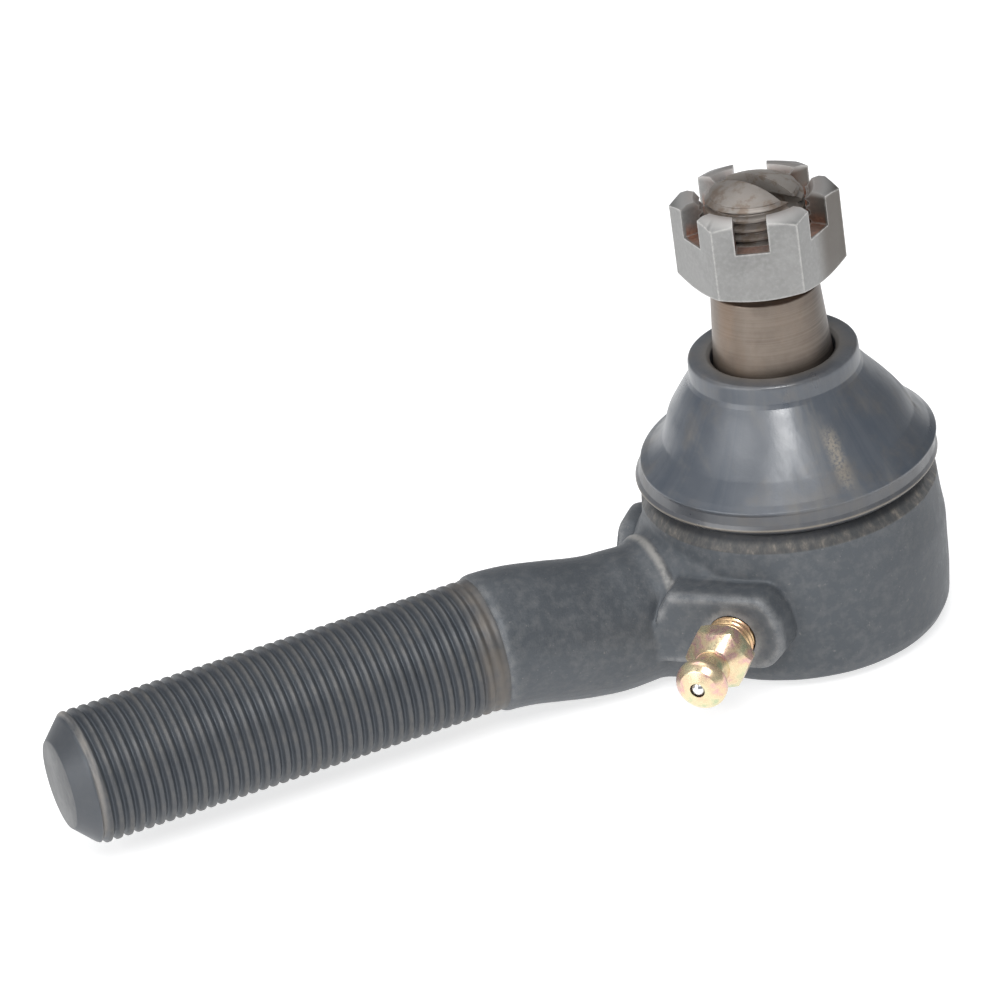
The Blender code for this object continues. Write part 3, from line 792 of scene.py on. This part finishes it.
def boot_marks(tree, where, colour, fine):
    """Marks over the boot's colour: a pale tan streak, painted shade in its groove below the fold
    and at its base, the vent's painted shade, a worn lip.
    """
    high = coordinate(tree, where, "Z")
    # a narrow pale tan streak up the front of the flank
    pale_tan_streak = times(
        tree,
        between(tree, coordinate(tree, where, "X"), *PALE_TAN_STREAK_X, 0.7),
        between(tree, high, *PALE_TAN_STREAK_Z, 1.2),
        span(tree, coordinate(tree, where, "Y"), -9.0 * MM, -11.0 * MM),
        span(tree, fine, 0.3, 0.6),
        0.6,
    )
    dust = span(tree, noise(tree, where, 150, 5.0, 0.65), 0.5, 0.7, 0.0, 0.4)
    # painted shade below the fold edge, with a brown tint
    fold = span(tree, high, 26.0 * MM, 25.5 * MM, 0.0, 0.4)
    bead = times(tree, between(tree, high, 23.25, 23.6, 0.1), 0.6)
    # painted shadow at the boot's base
    under = span(tree, high, 23.1 * MM, 22.8 * MM, 0.0, 0.9)
    from_vent = vectors(tree, "DISTANCE", where, Vector(BOOT_VENT) * MM).outputs["Value"]
    # painted shade of the vent's pinprick, which has no hole in the mesh
    vent = span(tree, from_vent, 0.75 * MM, 0.4 * MM, 0.0, 0.9)
    lip = times(
        tree,
        span(tree, high, (BOOT_TOP - 0.6) * MM, (BOOT_TOP - 0.2) * MM),
        span(tree, distance_from_axis(tree, where, "Z"), 10.2 * MM, 8.4 * MM, 0.15, 0.6),
    )
    return layered(
        tree,
        colour,
        (pale_tan_streak, (0.36, 0.31, 0.24)),
        (dust, (0.125, 0.110, 0.092)),
        (fold, (0.052, 0.046, 0.042)),
        (bead, (0.24, 0.205, 0.16)),
        (under, (0.02, 0.022, 0.026)),
        (vent, (0.012, 0.014, 0.018)),
        (lip, (0.17, 0.15, 0.125)),
    )


def boot_look():
    """Satin dark blue-grey moulded rubber: dusty smears, painted shade on its far side, brownish
    painted shade in its grooves.
    """
    look, tree, shader, where = start_look("moulded_rubber", 0.0, 0.36, 0.85)
    clouds = noise(tree, where, 70, 5.0, 0.6)
    fine = noise(tree, where, 2600, 3.0, 0.6)
    base = ramp(tree, clouds, (0.3, (0.062, 0.071, 0.086)), (0.7, (0.090, 0.101, 0.118)))
    smears = noise(tree, stretched(tree, where, (260, 90, 60)), 1.0, 5.0, 0.65)
    dusty = span(tree, smears, 0.52, 0.75, 0.0, 0.4)
    flat = stretched(tree, where, (1, 1, 0))
    bearing = vectors(tree, "NORMALIZE", flat).outputs["Vector"]
    streaks = span(tree, noise(tree, bearing, 7.0, 5.0, 0.6), 0.45, 0.65, 0.0, 0.5)
    # painted shade: the boot's far side, away from the lamps, darkened
    painted_shade_far_side = span(tree, coordinate(tree, where, "X"), 6.0 * MM, 13.0 * MM, 0.0, 0.45)
    colour = layered(
        tree,
        base,
        (dusty, (0.17, 0.155, 0.13)),
        (streaks, (0.045, 0.058, 0.078)),
        (painted_shade_far_side, (0.034, 0.042, 0.054)),
    )
    colour = boot_marks(tree, where, colour, fine)
    smeared = span(tree, smears, 0.4, 0.7, -0.05, 0.1)
    roughness = calc(tree, "ADD", span(tree, clouds, 0.3, 0.7, 0.30, 0.44), smeared)
    skin = bumped(tree, noise(tree, where, 300, 4.0), 0.09, 0.5)
    finish_with(tree, shader, colour, roughness, bumped(tree, fine, 0.014, 0.7, skin))
    return look


def fitting_look():
    """Iridescent pale gold zinc, drifting to pink and green, deeper orange by the forging."""
    look, tree, shader, where = start_look("yellow_zinc", 0.8, 0.28, 0.5)
    drift = noise(tree, where, 420, 3.0, 0.5)
    gold = ramp(
        tree,
        drift,
        (0.30, (0.54, 0.60, 0.38)),
        (0.42, (0.78, 0.68, 0.44)),
        (0.52, (0.80, 0.61, 0.40)),
        (0.60, (0.74, 0.45, 0.42)),
        (0.74, (0.72, 0.66, 0.44)),
    )
    fine = noise(tree, where, 2500, 3.0)
    colour = mixed(tree, span(tree, fine, 0.4, 0.8, 0.0, 0.12), gold, (0.62, 0.50, 0.32))
    out = vectors(tree, "DOT_PRODUCT", where, -INWARD).outputs["Value"]
    foot_low, foot_high = (NEAR_BOSS_REACH + 2.6) * MM, (NEAR_BOSS_REACH + 3.6) * MM
    foot = span(tree, out, foot_high, foot_low, 0.0, 0.6)
    colour = mixed(tree, foot, colour, (0.72, 0.42, 0.20))
    gloss = span(tree, fine, 0.2, 0.8, 0.22, 0.36)
    finish_with(tree, shader, colour, gloss, bumped(tree, fine, 0.004, 0.4))
    return look


def steel_look(name, dark, pale, roughness):
    """Turned or drawn steel: fine lines, clouded tone and uneven gloss."""
    look, tree, shader, where = start_look(name, 0.9, roughness, 0.5)
    clouds = noise(tree, where, 240, 4.0, 0.6)
    lines = noise(tree, stretched(tree, where, (90, 90, 2600)), 1.0, 3.0, 0.6)
    colour = ramp(tree, clouds, (0.3, dark), (0.7, pale))
    gloss = span(tree, lines, 0.25, 0.75, roughness - 0.07, roughness + 0.08)
    finish_with(tree, shader, colour, gloss, bumped(tree, lines, 0.01, 0.5))
    return look


def plain_look(name, dark, pale, roughness):
    """A moulded non-metal with slight mottling and a fine skin."""
    look, tree, shader, where = start_look(name, 0.0, roughness, 0.5)
    clouds = noise(tree, where, 600, 4.0, 0.6)
    colour = ramp(tree, clouds, (0.3, dark), (0.7, pale))
    gloss = span(tree, clouds, 0.2, 0.8, roughness - 0.06, roughness + 0.08)
    finish_with(tree, shader, colour, gloss, bumped(tree, clouds, 0.02, 0.4))
    return look


# ---------------------------------------------------------------- the pieces


def place(thing, look, body, node_name, degrees):
    """Shade and paint a finished piece, let it ride its body and stand for its CAD node.

    A piece without a body is left unattached.
    """
    shade(thing, degrees)
    thing.data.materials.clear()
    thing.data.materials.append(look)
    if body:
        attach(thing, body)
    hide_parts(node_name)


def swept_neck():
    """The S-bent neck, from inside the socket to inside the shank."""
    stops = [
        (-9.0, NECK_Z + 1.5, NECK_ROOT_R),
        (-17.0, NECK_Z + 1.2, NECK_ROOT_R),
        (-20.5, NECK_Z + 0.3, NECK_ROOT_R),
        (-23.0, NECK_Z, NECK_ROOT_R),
    ]
    bend_start, bend_end = NECK_BEND_X
    steps = 14
    for i in range(steps + 1):
        t = i / steps
        height = NECK_Z + (SHANK_END.z - NECK_Z) * t * t * (3 - 2 * t)
        stops.append((bend_start + (bend_end - bend_start) * t, height, SWEPT_R))
    stops += [
        (THREAD_START_X + 0.5, SHANK_END.z, SWEPT_R - 0.05),
        (THREAD_START_X, SHANK_END.z, SHANK_THREAD[0] + 0.1),
        (THREAD_START_X - 0.1, SHANK_END.z, SHANK_THREAD[1] - 0.2),
        (THREAD_START_X - 3.0, SHANK_END.z, SHANK_THREAD[1] - 0.4),
    ]
    return tube("neck", [(x, 0, z, r / SWEPT_R) for x, z, r in stops], SWEPT_R, 22)


def boss(name, corners, reach, side):
    """A pad on the socket's side, lofted from its face down into the socket."""
    outline = rounded(corners)
    outward = Vector((-abs(INWARD.x), abs(INWARD.y) * side, 0.0))
    along = Vector((abs(INWARD.y), abs(INWARD.x) * side, 0.0))
    count = len(outline)
    # each ring's distance out from the stud's axis, and its size as a share of the outline's
    rings = (
        (reach, 0.93),
        (reach - 0.25, 0.975),
        (reach - 0.8, 1.0),
        (15.5, BOSS_SPREAD),
        (8.0, BOSS_SPREAD),
    )
    vertices = []
    for distance, scale in rings:
        for w, z in outline:
            widened = scale if w > BOSS_MIDDLE.x else 1.0
            across = BOSS_MIDDLE.x + (w - BOSS_MIDDLE.x) * widened
            height = BOSS_MIDDLE.y + (z - BOSS_MIDDLE.y) * scale
            vertices.append(outward * distance + along * across + Vector((0, 0, height)))
    last = count * (len(rings) - 1)
    faces = [tuple(range(count)), tuple(reversed(range(last, last + count)))]
    for ring in range(0, last, count):
        faces += [
            (ring + i, ring + count + i, ring + count + (i + 1) % count, ring + (i + 1) % count)
            for i in range(count)
        ]
    return mesh_object(name, vertices, faces)


def rough_socket():
    """The socket's turned body, before it is joined to the neck and bored."""
    outline = [
        (0.0, COLLAR_TOP + 1.0),
        (18.4, COLLAR_TOP + 1.0),
        (19.1, FACE_Z),
        (19.45, 17.4, 3.0),
        (19.85, 13.6, 6.0),
        (19.6, 6.0, 6.0),
        (19.3, 2.4, 1.8),
        (18.3, 0.6, 1.2),
        (16.5, 0.1),
        (0.0, 0.1),
    ]
    return spun("forging", divided(rounded(outline), 1.5), 128)


def neck_flare():
    """The crescent-rimmed flare at the neck's root, cut off flat above and below."""
    outline = [
        (0.0, 23.4),
        (8.6, 23.4),
        (9.05, 22.9, 0.5),
        (9.2, 22.2, 1.0),
        (9.85, 20.9, 0.15),
        (9.65, 20.2, 0.6),
        (10.3, 19.4, 1.0),
        (12.4, 17.6),
        (13.4, 16.4),
        (0.0, 12.0),
    ]
    flare = spun("flare", rounded(outline), 96)
    along_shank(flare, NECK_Z)
    return combine(flare, "INTERSECT", block("flare_slab", (60, 60, 20.8), (0, 0, 11.0)))


def forging_cuts():
    """Cutters for all that is machined: the boot's seat, the top, the bore, the grease hole."""
    seat_outline = [
        (15.0, 40.0),
        (26.0, 40.0),
        (26.0, SEAT_LOW_Z),
        (19.4, SEAT_LOW_Z),
        (18.0, FACE_Z),
        (15.4, FACE_Z),
        (15.4, COLLAR_TOP - 0.4),
        (15.0, COLLAR_TOP),
    ]
    bore_outline = [
        (0.0, 26.0),
        (12.7, 26.0),
        (12.4, COLLAR_TOP),
        (8.8, 17.3),
        (12.6, 17.25),
        (12.6, 2.8),
        (13.6, 2.8),
        (13.6, 0.9),
        (12.95, 0.0),
        (12.95, -2.0),
        (0.0, -2.0),
    ]
    hole_r = FITTING_THREAD[0] + 0.03
    hole_outline = [(0, 3), (hole_r, 3), (hole_r, -6.5), (1.2, -8), (1.2, -12), (0, -12)]
    return (
        spun("boot_seat", seat_outline, closed=True),
        spun("top_cut", [(0, 41), (25, 41), (25, COLLAR_TOP), (0, COLLAR_TOP)]),
        spun("ball_bore", bore_outline),
        in_fitting(spun("grease_hole", hole_outline, 64)),
    )


def make_forging(look):
    """The socket: joined rough shapes, softened as a forging, then machined where it is bored."""
    forging = rough_socket()
    combine(
        forging,
        "UNION",
        swept_neck(),
        neck_flare(),
        boss("near_boss", NEAR_BOSS, NEAR_BOSS_REACH, -1),
        boss("far_boss", FAR_BOSS, FAR_BOSS_REACH, 1),
    )
    remesh = forging.modifiers.new("even", "REMESH")
    remesh.mode = "VOXEL"
    remesh.voxel_size = FORGING_GRID * MM
    smooth = forging.modifiers.new("soften", "SMOOTH")
    smooth.factor = 0.5
    smooth.iterations = 3
    settle(forging)
    roughen(forging, *FORGING_WAVES)
    combine(forging, "DIFFERENCE", *forging_cuts())
    place(forging, look, "housing", "socket_housing", 40)


def make_shank(look):
    """The threaded shank, whose plain root is buried in the neck."""
    crest = SHANK_THREAD[0]
    end_r, cone_length = SHANK_CHAMFER
    root, start, end = 41.0, -THREAD_START_X, -SHANK_END.x
    shank = threaded(
        "shank_thread",
        [(0.0, root), (crest, root), (crest, start)],
        SHANK_THREAD,
        start,
        end,
        end_r,
        [(0.0, end)],
        columns=128,
        slope=(crest - end_r) / cone_length,
        fade=4.0,
    )
    along_shank(shank, SHANK_END.z)
    place(shank, look, "housing", "socket_housing", 60)


def make_stud(look):
    """The lower half ball, the neck, the taper and the slotted, domed, threaded end in one."""
    split = BALL_Z - 0.15
    thread_root = STUD_THREAD[1]
    neck = [
        (9.0, split, 0.15),
        (NECK_R, split, 0.5),
        (NECK_R, 26.0, 6.0),
        (6.3, 31.5, 8.0),
        (7.3, 35.0, 1.2),
        (TAPER_LARGE[0], TAPER_LARGE[1], 0.3),
        (*TAPER_SMALL, 0.3),
        (thread_root, TAPER_SMALL[1] + 0.35),
    ]
    below = [(0.0, STUD_LOW)] + arc(BALL_R, BALL_Z, STUD_LOW + 0.001, split - 0.02, 24)
    below += rounded(neck)
    dome_r, dome_height = STUD_DOME
    dome = arc(dome_r, STUD_TOP - dome_r, STUD_TOP - dome_height, STUD_TOP - 0.001, 14)
    stud = threaded(
        "taper_stud",
        below,
        STUD_THREAD,
        TAPER_SMALL[1] + 0.6,
        STUD_TOP - dome_height - 0.13,
        thread_root,
        dome,
    )
    width, depth, direction = STUD_SLOT
    slot = block("stud_slot", (30, width, 2 * depth), (0, 0, STUD_TOP), direction)
    hole_r, hole_z = PIN_HOLE
    hole = regular_prism("pin_hole", 40, 2 * hole_r, -20, 20)
    hole.data.transform(
        Matrix.Translation((0, 0, hole_z * MM))
        @ Matrix.Rotation(NUT_TURN + math.radians(120), 4, "Z")
        @ Matrix.Rotation(math.pi / 2, 4, "Y")
    )
    combine(stud, "DIFFERENCE", slot, hole)
    place(stud, look, "stud", "ball_stud", 38)


def make_nut(look):
    """A hexagon turned to a chamfer at both ends, slotted, then threaded inside."""
    nut = regular_prism("castle_nut", 6, NUT_FLATS, NUT_LOW, NUT_TOP, NUT_TURN)
    barrel = [
        (0, NUT_TOP + 1),
        (NUT_FACE_R, NUT_TOP + 1),
        (NUT_FACE_R, NUT_TOP),
        (NUT_CORNER_R + 0.1, NUT_TOP - 0.95),
        (NUT_CORNER_R + 0.1, NUT_LOW + 0.95),
        (NUT_FACE_R, NUT_LOW),
        (NUT_FACE_R, NUT_LOW - 1),
        (0, NUT_LOW - 1),
    ]
    combine(nut, "INTERSECT", spun("nut_barrel", barrel))
    width, depth = NUT_SLOTS
    slots = [
        block(
            f"nut_slot_{i}",
            (40, width, 2 * depth),
            (*NUT_SLOT_SHIFT, NUT_TOP),
            NUT_TURN + math.radians(60 * i),
        )
        for i in range(3)
    ]
    combine(nut, "DIFFERENCE", *slots)
    soften_edges(nut, 0.28, 3, 25)
    bore = threaded(
        "nut_bore",
        [(0, NUT_LOW - 3), (9.4, NUT_LOW - 3), (9.4, NUT_LOW - 2), (6.65, NUT_LOW + 0.75)],
        NUT_THREAD,
        NUT_LOW + 0.8,
        NUT_TOP - 0.8,
        7.0,
        [(7.0, NUT_TOP - 0.75), (9.6, NUT_TOP + 2), (0, NUT_TOP + 2)],
        columns=96,
    )
    combine(nut, "DIFFERENCE", bore)
    place(nut, look, "stud", "slotted_nut", 30)


def boot_outline():
    """The boot's closed section, down its outer side and back up the inside."""
    corners = [
        (8.1, BOOT_TOP - 0.35, 0.3),
        (8.6, BOOT_TOP, 0.4),
        (11.0, BOOT_TOP, 0.6),
        (11.1, BOOT_TOP - 2.5, 0.5),
        (11.4, BOOT_TOP - 3.1, 0.35),
        (16.9, 28.9, 3.0),
        (19.0, 26.7, 2.0),
        (BOOT_R, 26.0, 0.25),
        (BOOT_R - 0.35, 25.4, 0.3),
        (BOOT_R - 0.4, 24.1, 0.3),
        (BOOT_R - 0.12, 23.45, 0.15),
        (BOOT_R - 0.5, 23.0, 0.2),
        (19.0, BOOT_LOW + 0.4, 0.2),
        (18.5, BOOT_LOW, 0.2),
        (16.6, BOOT_LOW, 0.1),
        (16.6, 24.2, 0.1),
        (17.6, 24.7, 0.4),
        (17.9, 25.4, 0.6),
        (14.15, 31.0, 2.0),
        (10.4, 35.5, 0.8),
        (8.25, 36.2, 0.2),
        (8.1, 38.0, 0.2),
    ]
    return rounded(corners, closed=True)


def swell(height, low, high):
    """A smooth hump that rises to 1 halfway between two heights and is 0 outside them."""
    share = min(1.0, max(0.0, (height - low) / (high - low)))
    return math.sin(math.pi * share) ** 2


def boot_part(name, keep_above):
    """The boot's lower or upper part: one closed ring each, meeting at the seam height."""
    boot = spun(name, divided(boot_outline(), 0.45, closed=True), 176, closed=True)
    slack_x, slack_y = BOOT_SLACK_SIDE
    for vertex in boot.data.vertices:
        x, y, z = vertex.co / MM
        radius = math.hypot(x, y)
        slack = max(0.0, (slack_x * x + slack_y * y) / radius) ** 2
        kept = 1.0 - BOOT_DRAWN_IN * slack * swell(z, 22.6, 32.5) / radius
        vertex.co.x = (x * kept + BOOT_LEAN * swell(z, 26.0, 36.0)) * MM
        vertex.co.y = y * kept * MM
    size = 60  # wider and taller than the boot
    middle = BOOT_SEAM - size / 2 if keep_above else BOOT_SEAM + size / 2
    return combine(boot, "DIFFERENCE", block(name + "_cut", (size, size, size), (0, 0, middle)))


def make_boot(look):
    """Two parts in one skin, meeting at the seam height; neither is attached to a body."""
    lower = boot_part("boot_lower", False)
    upper = boot_part("boot_upper", True)
    for part in (lower, upper):
        place(part, look, None, "dust_cover", 50)
    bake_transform(lower)
    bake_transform(upper)


def fitting_hexagon():
    """The nipple's hexagon, turned to a chamfer at both ends."""
    hexagon = regular_prism("hexagon", 6, FITTING_FLATS, 3.5, 7.6, math.radians(2))
    corner = FITTING_FLATS / 2 / math.cos(math.pi / 6)
    trim = [
        (0.0, 8.3),
        (2.25, 8.3),
        (2.4, 7.4, 0.6),
        (corner, 5.4),
        (corner, 3.85),
        (corner - 0.5, 3.4),
        (0.0, 3.4),
    ]
    combine(hexagon, "INTERSECT", spun("hexagon_trim", rounded(trim), 96))
    return soften_edges(hexagon, 0.1, 2, 20)


def make_fitting(look):
    """The nipple in its own frame, Z out of the boss: head, hexagon, stem and passage."""
    tip = FITTING_TIP
    head_outline = [
        (0.0, tip),
        (1.25, tip, 0.15),
        (2.5, tip - 0.42, 0.5),
        (3.38, tip - 1.25, 1.2),
        (3.35, tip - 2.2, 0.25),
        (2.9, tip - 2.5, 0.2),
        (2.35, tip - 3.1, 0.8),
        (2.3, 7.0),
        (0.0, 7.0),
    ]
    head = spun("nipple_body", rounded(head_outline), 96)
    hexagon = fitting_hexagon()
    stem_root = FITTING_THREAD[1]
    stem = threaded(
        "stem",
        [(0.0, -6.0), (2.4, -6.0), (stem_root, -5.4), (stem_root, 0.1)],
        FITTING_THREAD,
        0.15,
        3.7,
        stem_root,
        [(0.0, 3.7)],
        columns=72,
    )
    combine(head, "UNION", stem, hexagon)
    passage_outline = [
        (0, tip + 2),
        (1.15, tip + 2),
        (0.98, tip - 0.1),
        (1.5, tip - 0.7),
        (1.5, 5.0),
        (0.8, 4.4),
        (0.8, -8),
        (0, -8),
    ]
    combine(head, "DIFFERENCE", spun("passage", passage_outline, 64))
    in_fitting(head)
    place(head, look, "housing", "grease_fitting_body", 32)


def make_check_ball(look):
    r = CHECK_BALL_R
    profile = [(0.0, r)] + arc(r, 0.0, r * 0.9995, -r * 0.9995, 28) + [(0.0, -r)]
    ball = spun("nipple_ball", profile, 56)
    ball.data.transform(Matrix.Translation((0, 0, CHECK_BALL_AT * MM)))
    in_fitting(ball)
    place(ball, look, "check_ball", "fitting_check_ball", 60)


def make_fitting_spring(look):
    """A wound spring behind the check ball, riding the housing at a fixed length."""
    low, high = 5.2, CHECK_BALL_AT - CHECK_BALL_R - 0.05
    turns, per_turn = 5, 28
    coil_r, wire_r = 1.05, 0.14
    wire = []
    for i in range(turns * per_turn + 1):
        angle = 2 * math.pi * i / per_turn
        height = low + (high - low) * i / (turns * per_turn)
        wire.append((coil_r * math.cos(angle), coil_r * math.sin(angle), height, 1))
    spring = in_fitting(tube("nipple_spring", wire, wire_r, 3))
    place(spring, look, "housing", "fitting_spring", 60)
    foot = fitting_frame() @ Vector((0, 0, low * MM))
    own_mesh(spring)


def make_inner_pieces(looks):
    """The pieces inside the socket, the plate that closes it and the ring in the boot."""
    race = [(8.5, UPPER_RACE_TOP, 0.2), (RACE_R, UPPER_RACE_TOP, 0.4), (RACE_R, BALL_Z + 0.1, 0.2)]
    upper = rounded(race, closed=True)
    upper += arc(RACE_BORE_R, BALL_Z, BALL_Z + 0.1, 16.8, 16)
    lower = arc(RACE_BORE_R, BALL_Z, BALL_Z - 8.8, BALL_Z - 0.3, 24)
    lower += [(RACE_R, BALL_Z - 0.3), (RACE_R, LOWER_RACE_LOW + 0.3)]
    lower += [(RACE_R - 0.3, LOWER_RACE_LOW), (3.0, LOWER_RACE_LOW)]
    half_low = BALL_Z + 0.15
    half = [(HALF_BALL_BORE_R, HALF_BALL_TOP)]
    half += arc(HALF_BALL_R, BALL_Z, HALF_BALL_TOP, half_low, 24)
    half += [(HALF_BALL_BORE_R, half_low)]
    disc = [(3.6, 2.8, 0.1), (9.5, 2.3, 0.1), (9.5, 1.8, 0.1), (3.6, 2.3, 0.1)]
    cover = [(0, 1.5), (13.1, 1.5, 0.1), (13.3, 1.3), (13.3, 1.0), (12.55, 0.0, 0.15), (0, 0)]
    band = [(15.75, 24.0, 0.1), (16.3, 24.0, 0.1), (16.3, 22.35, 0.1), (15.75, 22.35, 0.1)]
    pieces = (
        ("race_upper", "upper_bearing", upper, True),
        ("race_lower", "lower_bearing", lower, True),
        ("ball_upper_half", "half_ball", half, True),
        ("seal_ring", "cover_seal", ring_section(*SEAL_RING), True),
        ("disc_spring", "preload_spring", rounded(disc, closed=True), True),
        ("cover_disc", "cover_plate", rounded(cover), False),
        ("base_band", "boot_base_ring", rounded(band, closed=True), True),
    )
    for name, cad_node, outline, closed in pieces:
        piece = spun(name, outline, 128, closed)
        body = "half_ball" if cad_node == "half_ball" else "housing"
        # these pieces' slots have the same names as their nodes
        place(piece, looks[cad_node], body, cad_node, 32)


def make_looks():
    """Every finish, by the piece that it is for."""
    return {
        "forging": forged_look(),
        "thread": thread_look(),
        "stud": taper_look(),
        "nut": nut_look(),
        "boot": boot_look(),
        "fitting": fitting_look(),
        "check_ball": steel_look("polished_ball", (0.72, 0.72, 0.74), (0.86, 0.86, 0.87), 0.12),
        "fitting_spring": steel_look("spring_wire", (0.42, 0.42, 0.44), (0.6, 0.6, 0.6), 0.3),
        "upper_bearing": steel_look("sintered_race", (0.22, 0.21, 0.19), (0.36, 0.34, 0.31), 0.5),
        "half_ball": steel_look("ground_ball", (0.5, 0.5, 0.51), (0.66, 0.66, 0.67), 0.2),
        "preload_spring": steel_look("blued_spring", (0.10, 0.12, 0.18), (0.2, 0.22, 0.27), 0.32),
        "cover_plate": steel_look("pressed_cover", (0.11, 0.115, 0.12), (0.2, 0.2, 0.2), 0.45),
        "boot_base_ring": steel_look("plain_band", (0.3, 0.3, 0.31), (0.45, 0.45, 0.46), 0.35),
        "lower_bearing": plain_look("moulded_acetal", (0.72, 0.70, 0.62), (0.84, 0.82, 0.75), 0.42),
        "cover_seal": plain_look("nitrile", (0.018, 0.018, 0.019), (0.035, 0.035, 0.036), 0.6),
    }


# ---------------------------------------------------------------- studio


def add_area(name, size, power, at, aim):
    light = bpy.data.lights.new(name, "AREA")
    light.size = size
    light.energy = power
    thing = add_object(name, light)
    thing.location = at
    thing.rotation_euler = (Vector(aim) - Vector(at)).to_track_quat("-Z", "Y").to_euler()


def make_studio():
    """A dim white world, a pale glowing floor and three soft lights."""
    world = bpy.data.worlds.new("studio")
    bpy.context.scene.world = world
    world.use_nodes = True
    background = world.node_tree.nodes["Background"]
    background.inputs["Color"].default_value = (0.93, 0.96, 1.0, 1.0)
    background.inputs["Strength"].default_value = 0.25

    floor = block("floor", (8000, 8000, 1), (0, 0, cad_corners[0][2] / MM - 0.6))
    look, tree, shader, where = start_look("pale_floor", 0.0, 0.9, 0.1)
    pale = ramp(tree, noise(tree, where, 3.0), (0.0, (0.58, 0.58, 0.58)), (1.0, (0.60, 0.60, 0.60)))
    finish_with(tree, shader, pale)
    shader.inputs["Emission Color"].default_value = (1.0, 1.0, 1.0, 1.0)
    shader.inputs["Emission Strength"].default_value = 0.70
    floor.data.materials.append(look)

    middle = (-0.03, 0.0, 0.02)
    add_area("key", 0.40, 6.8, (-0.29, -0.72, 0.86), middle)
    add_area("left", 0.8, 7.0, (-1.1, -0.35, 0.5), middle)
    add_area("top", 1.2, 8.0, (-0.1, 0.35, 1.4), middle)
    bpy.context.scene.view_settings.view_transform = "Standard"


def make_camera():
    """The photograph's view: long lens, to the shank's side and above, rolled a little."""
    at = Vector((-250.5, -591.8, 362.7)) * MM
    aim = Vector((-31.9, 22.0, 18.2)) * MM
    roll = math.radians(-8.54)
    data = bpy.data.cameras.new("camera")
    data.sensor_width = 36.0
    data.lens = 201.6
    data.clip_start = 0.01
    data.clip_end = 20.0
    camera = add_object("camera", data)
    turn = (aim - at).to_track_quat("-Z", "Y").to_matrix() @ Matrix.Rotation(roll, 3, "Z")
    camera.matrix_world = Matrix.Translation(at) @ turn.to_4x4()
    bpy.context.scene.camera = camera


def main():
    looks = make_looks()
    make_forging(looks["forging"])
    make_shank(looks["thread"])
    make_stud(looks["stud"])
    make_nut(looks["nut"])
    make_boot(looks["boot"])
    make_fitting(looks["fitting"])
    make_check_ball(looks["check_ball"])
    make_fitting_spring(looks["fitting_spring"])
    make_inner_pieces(looks)
    make_studio()
    make_camera()


main()
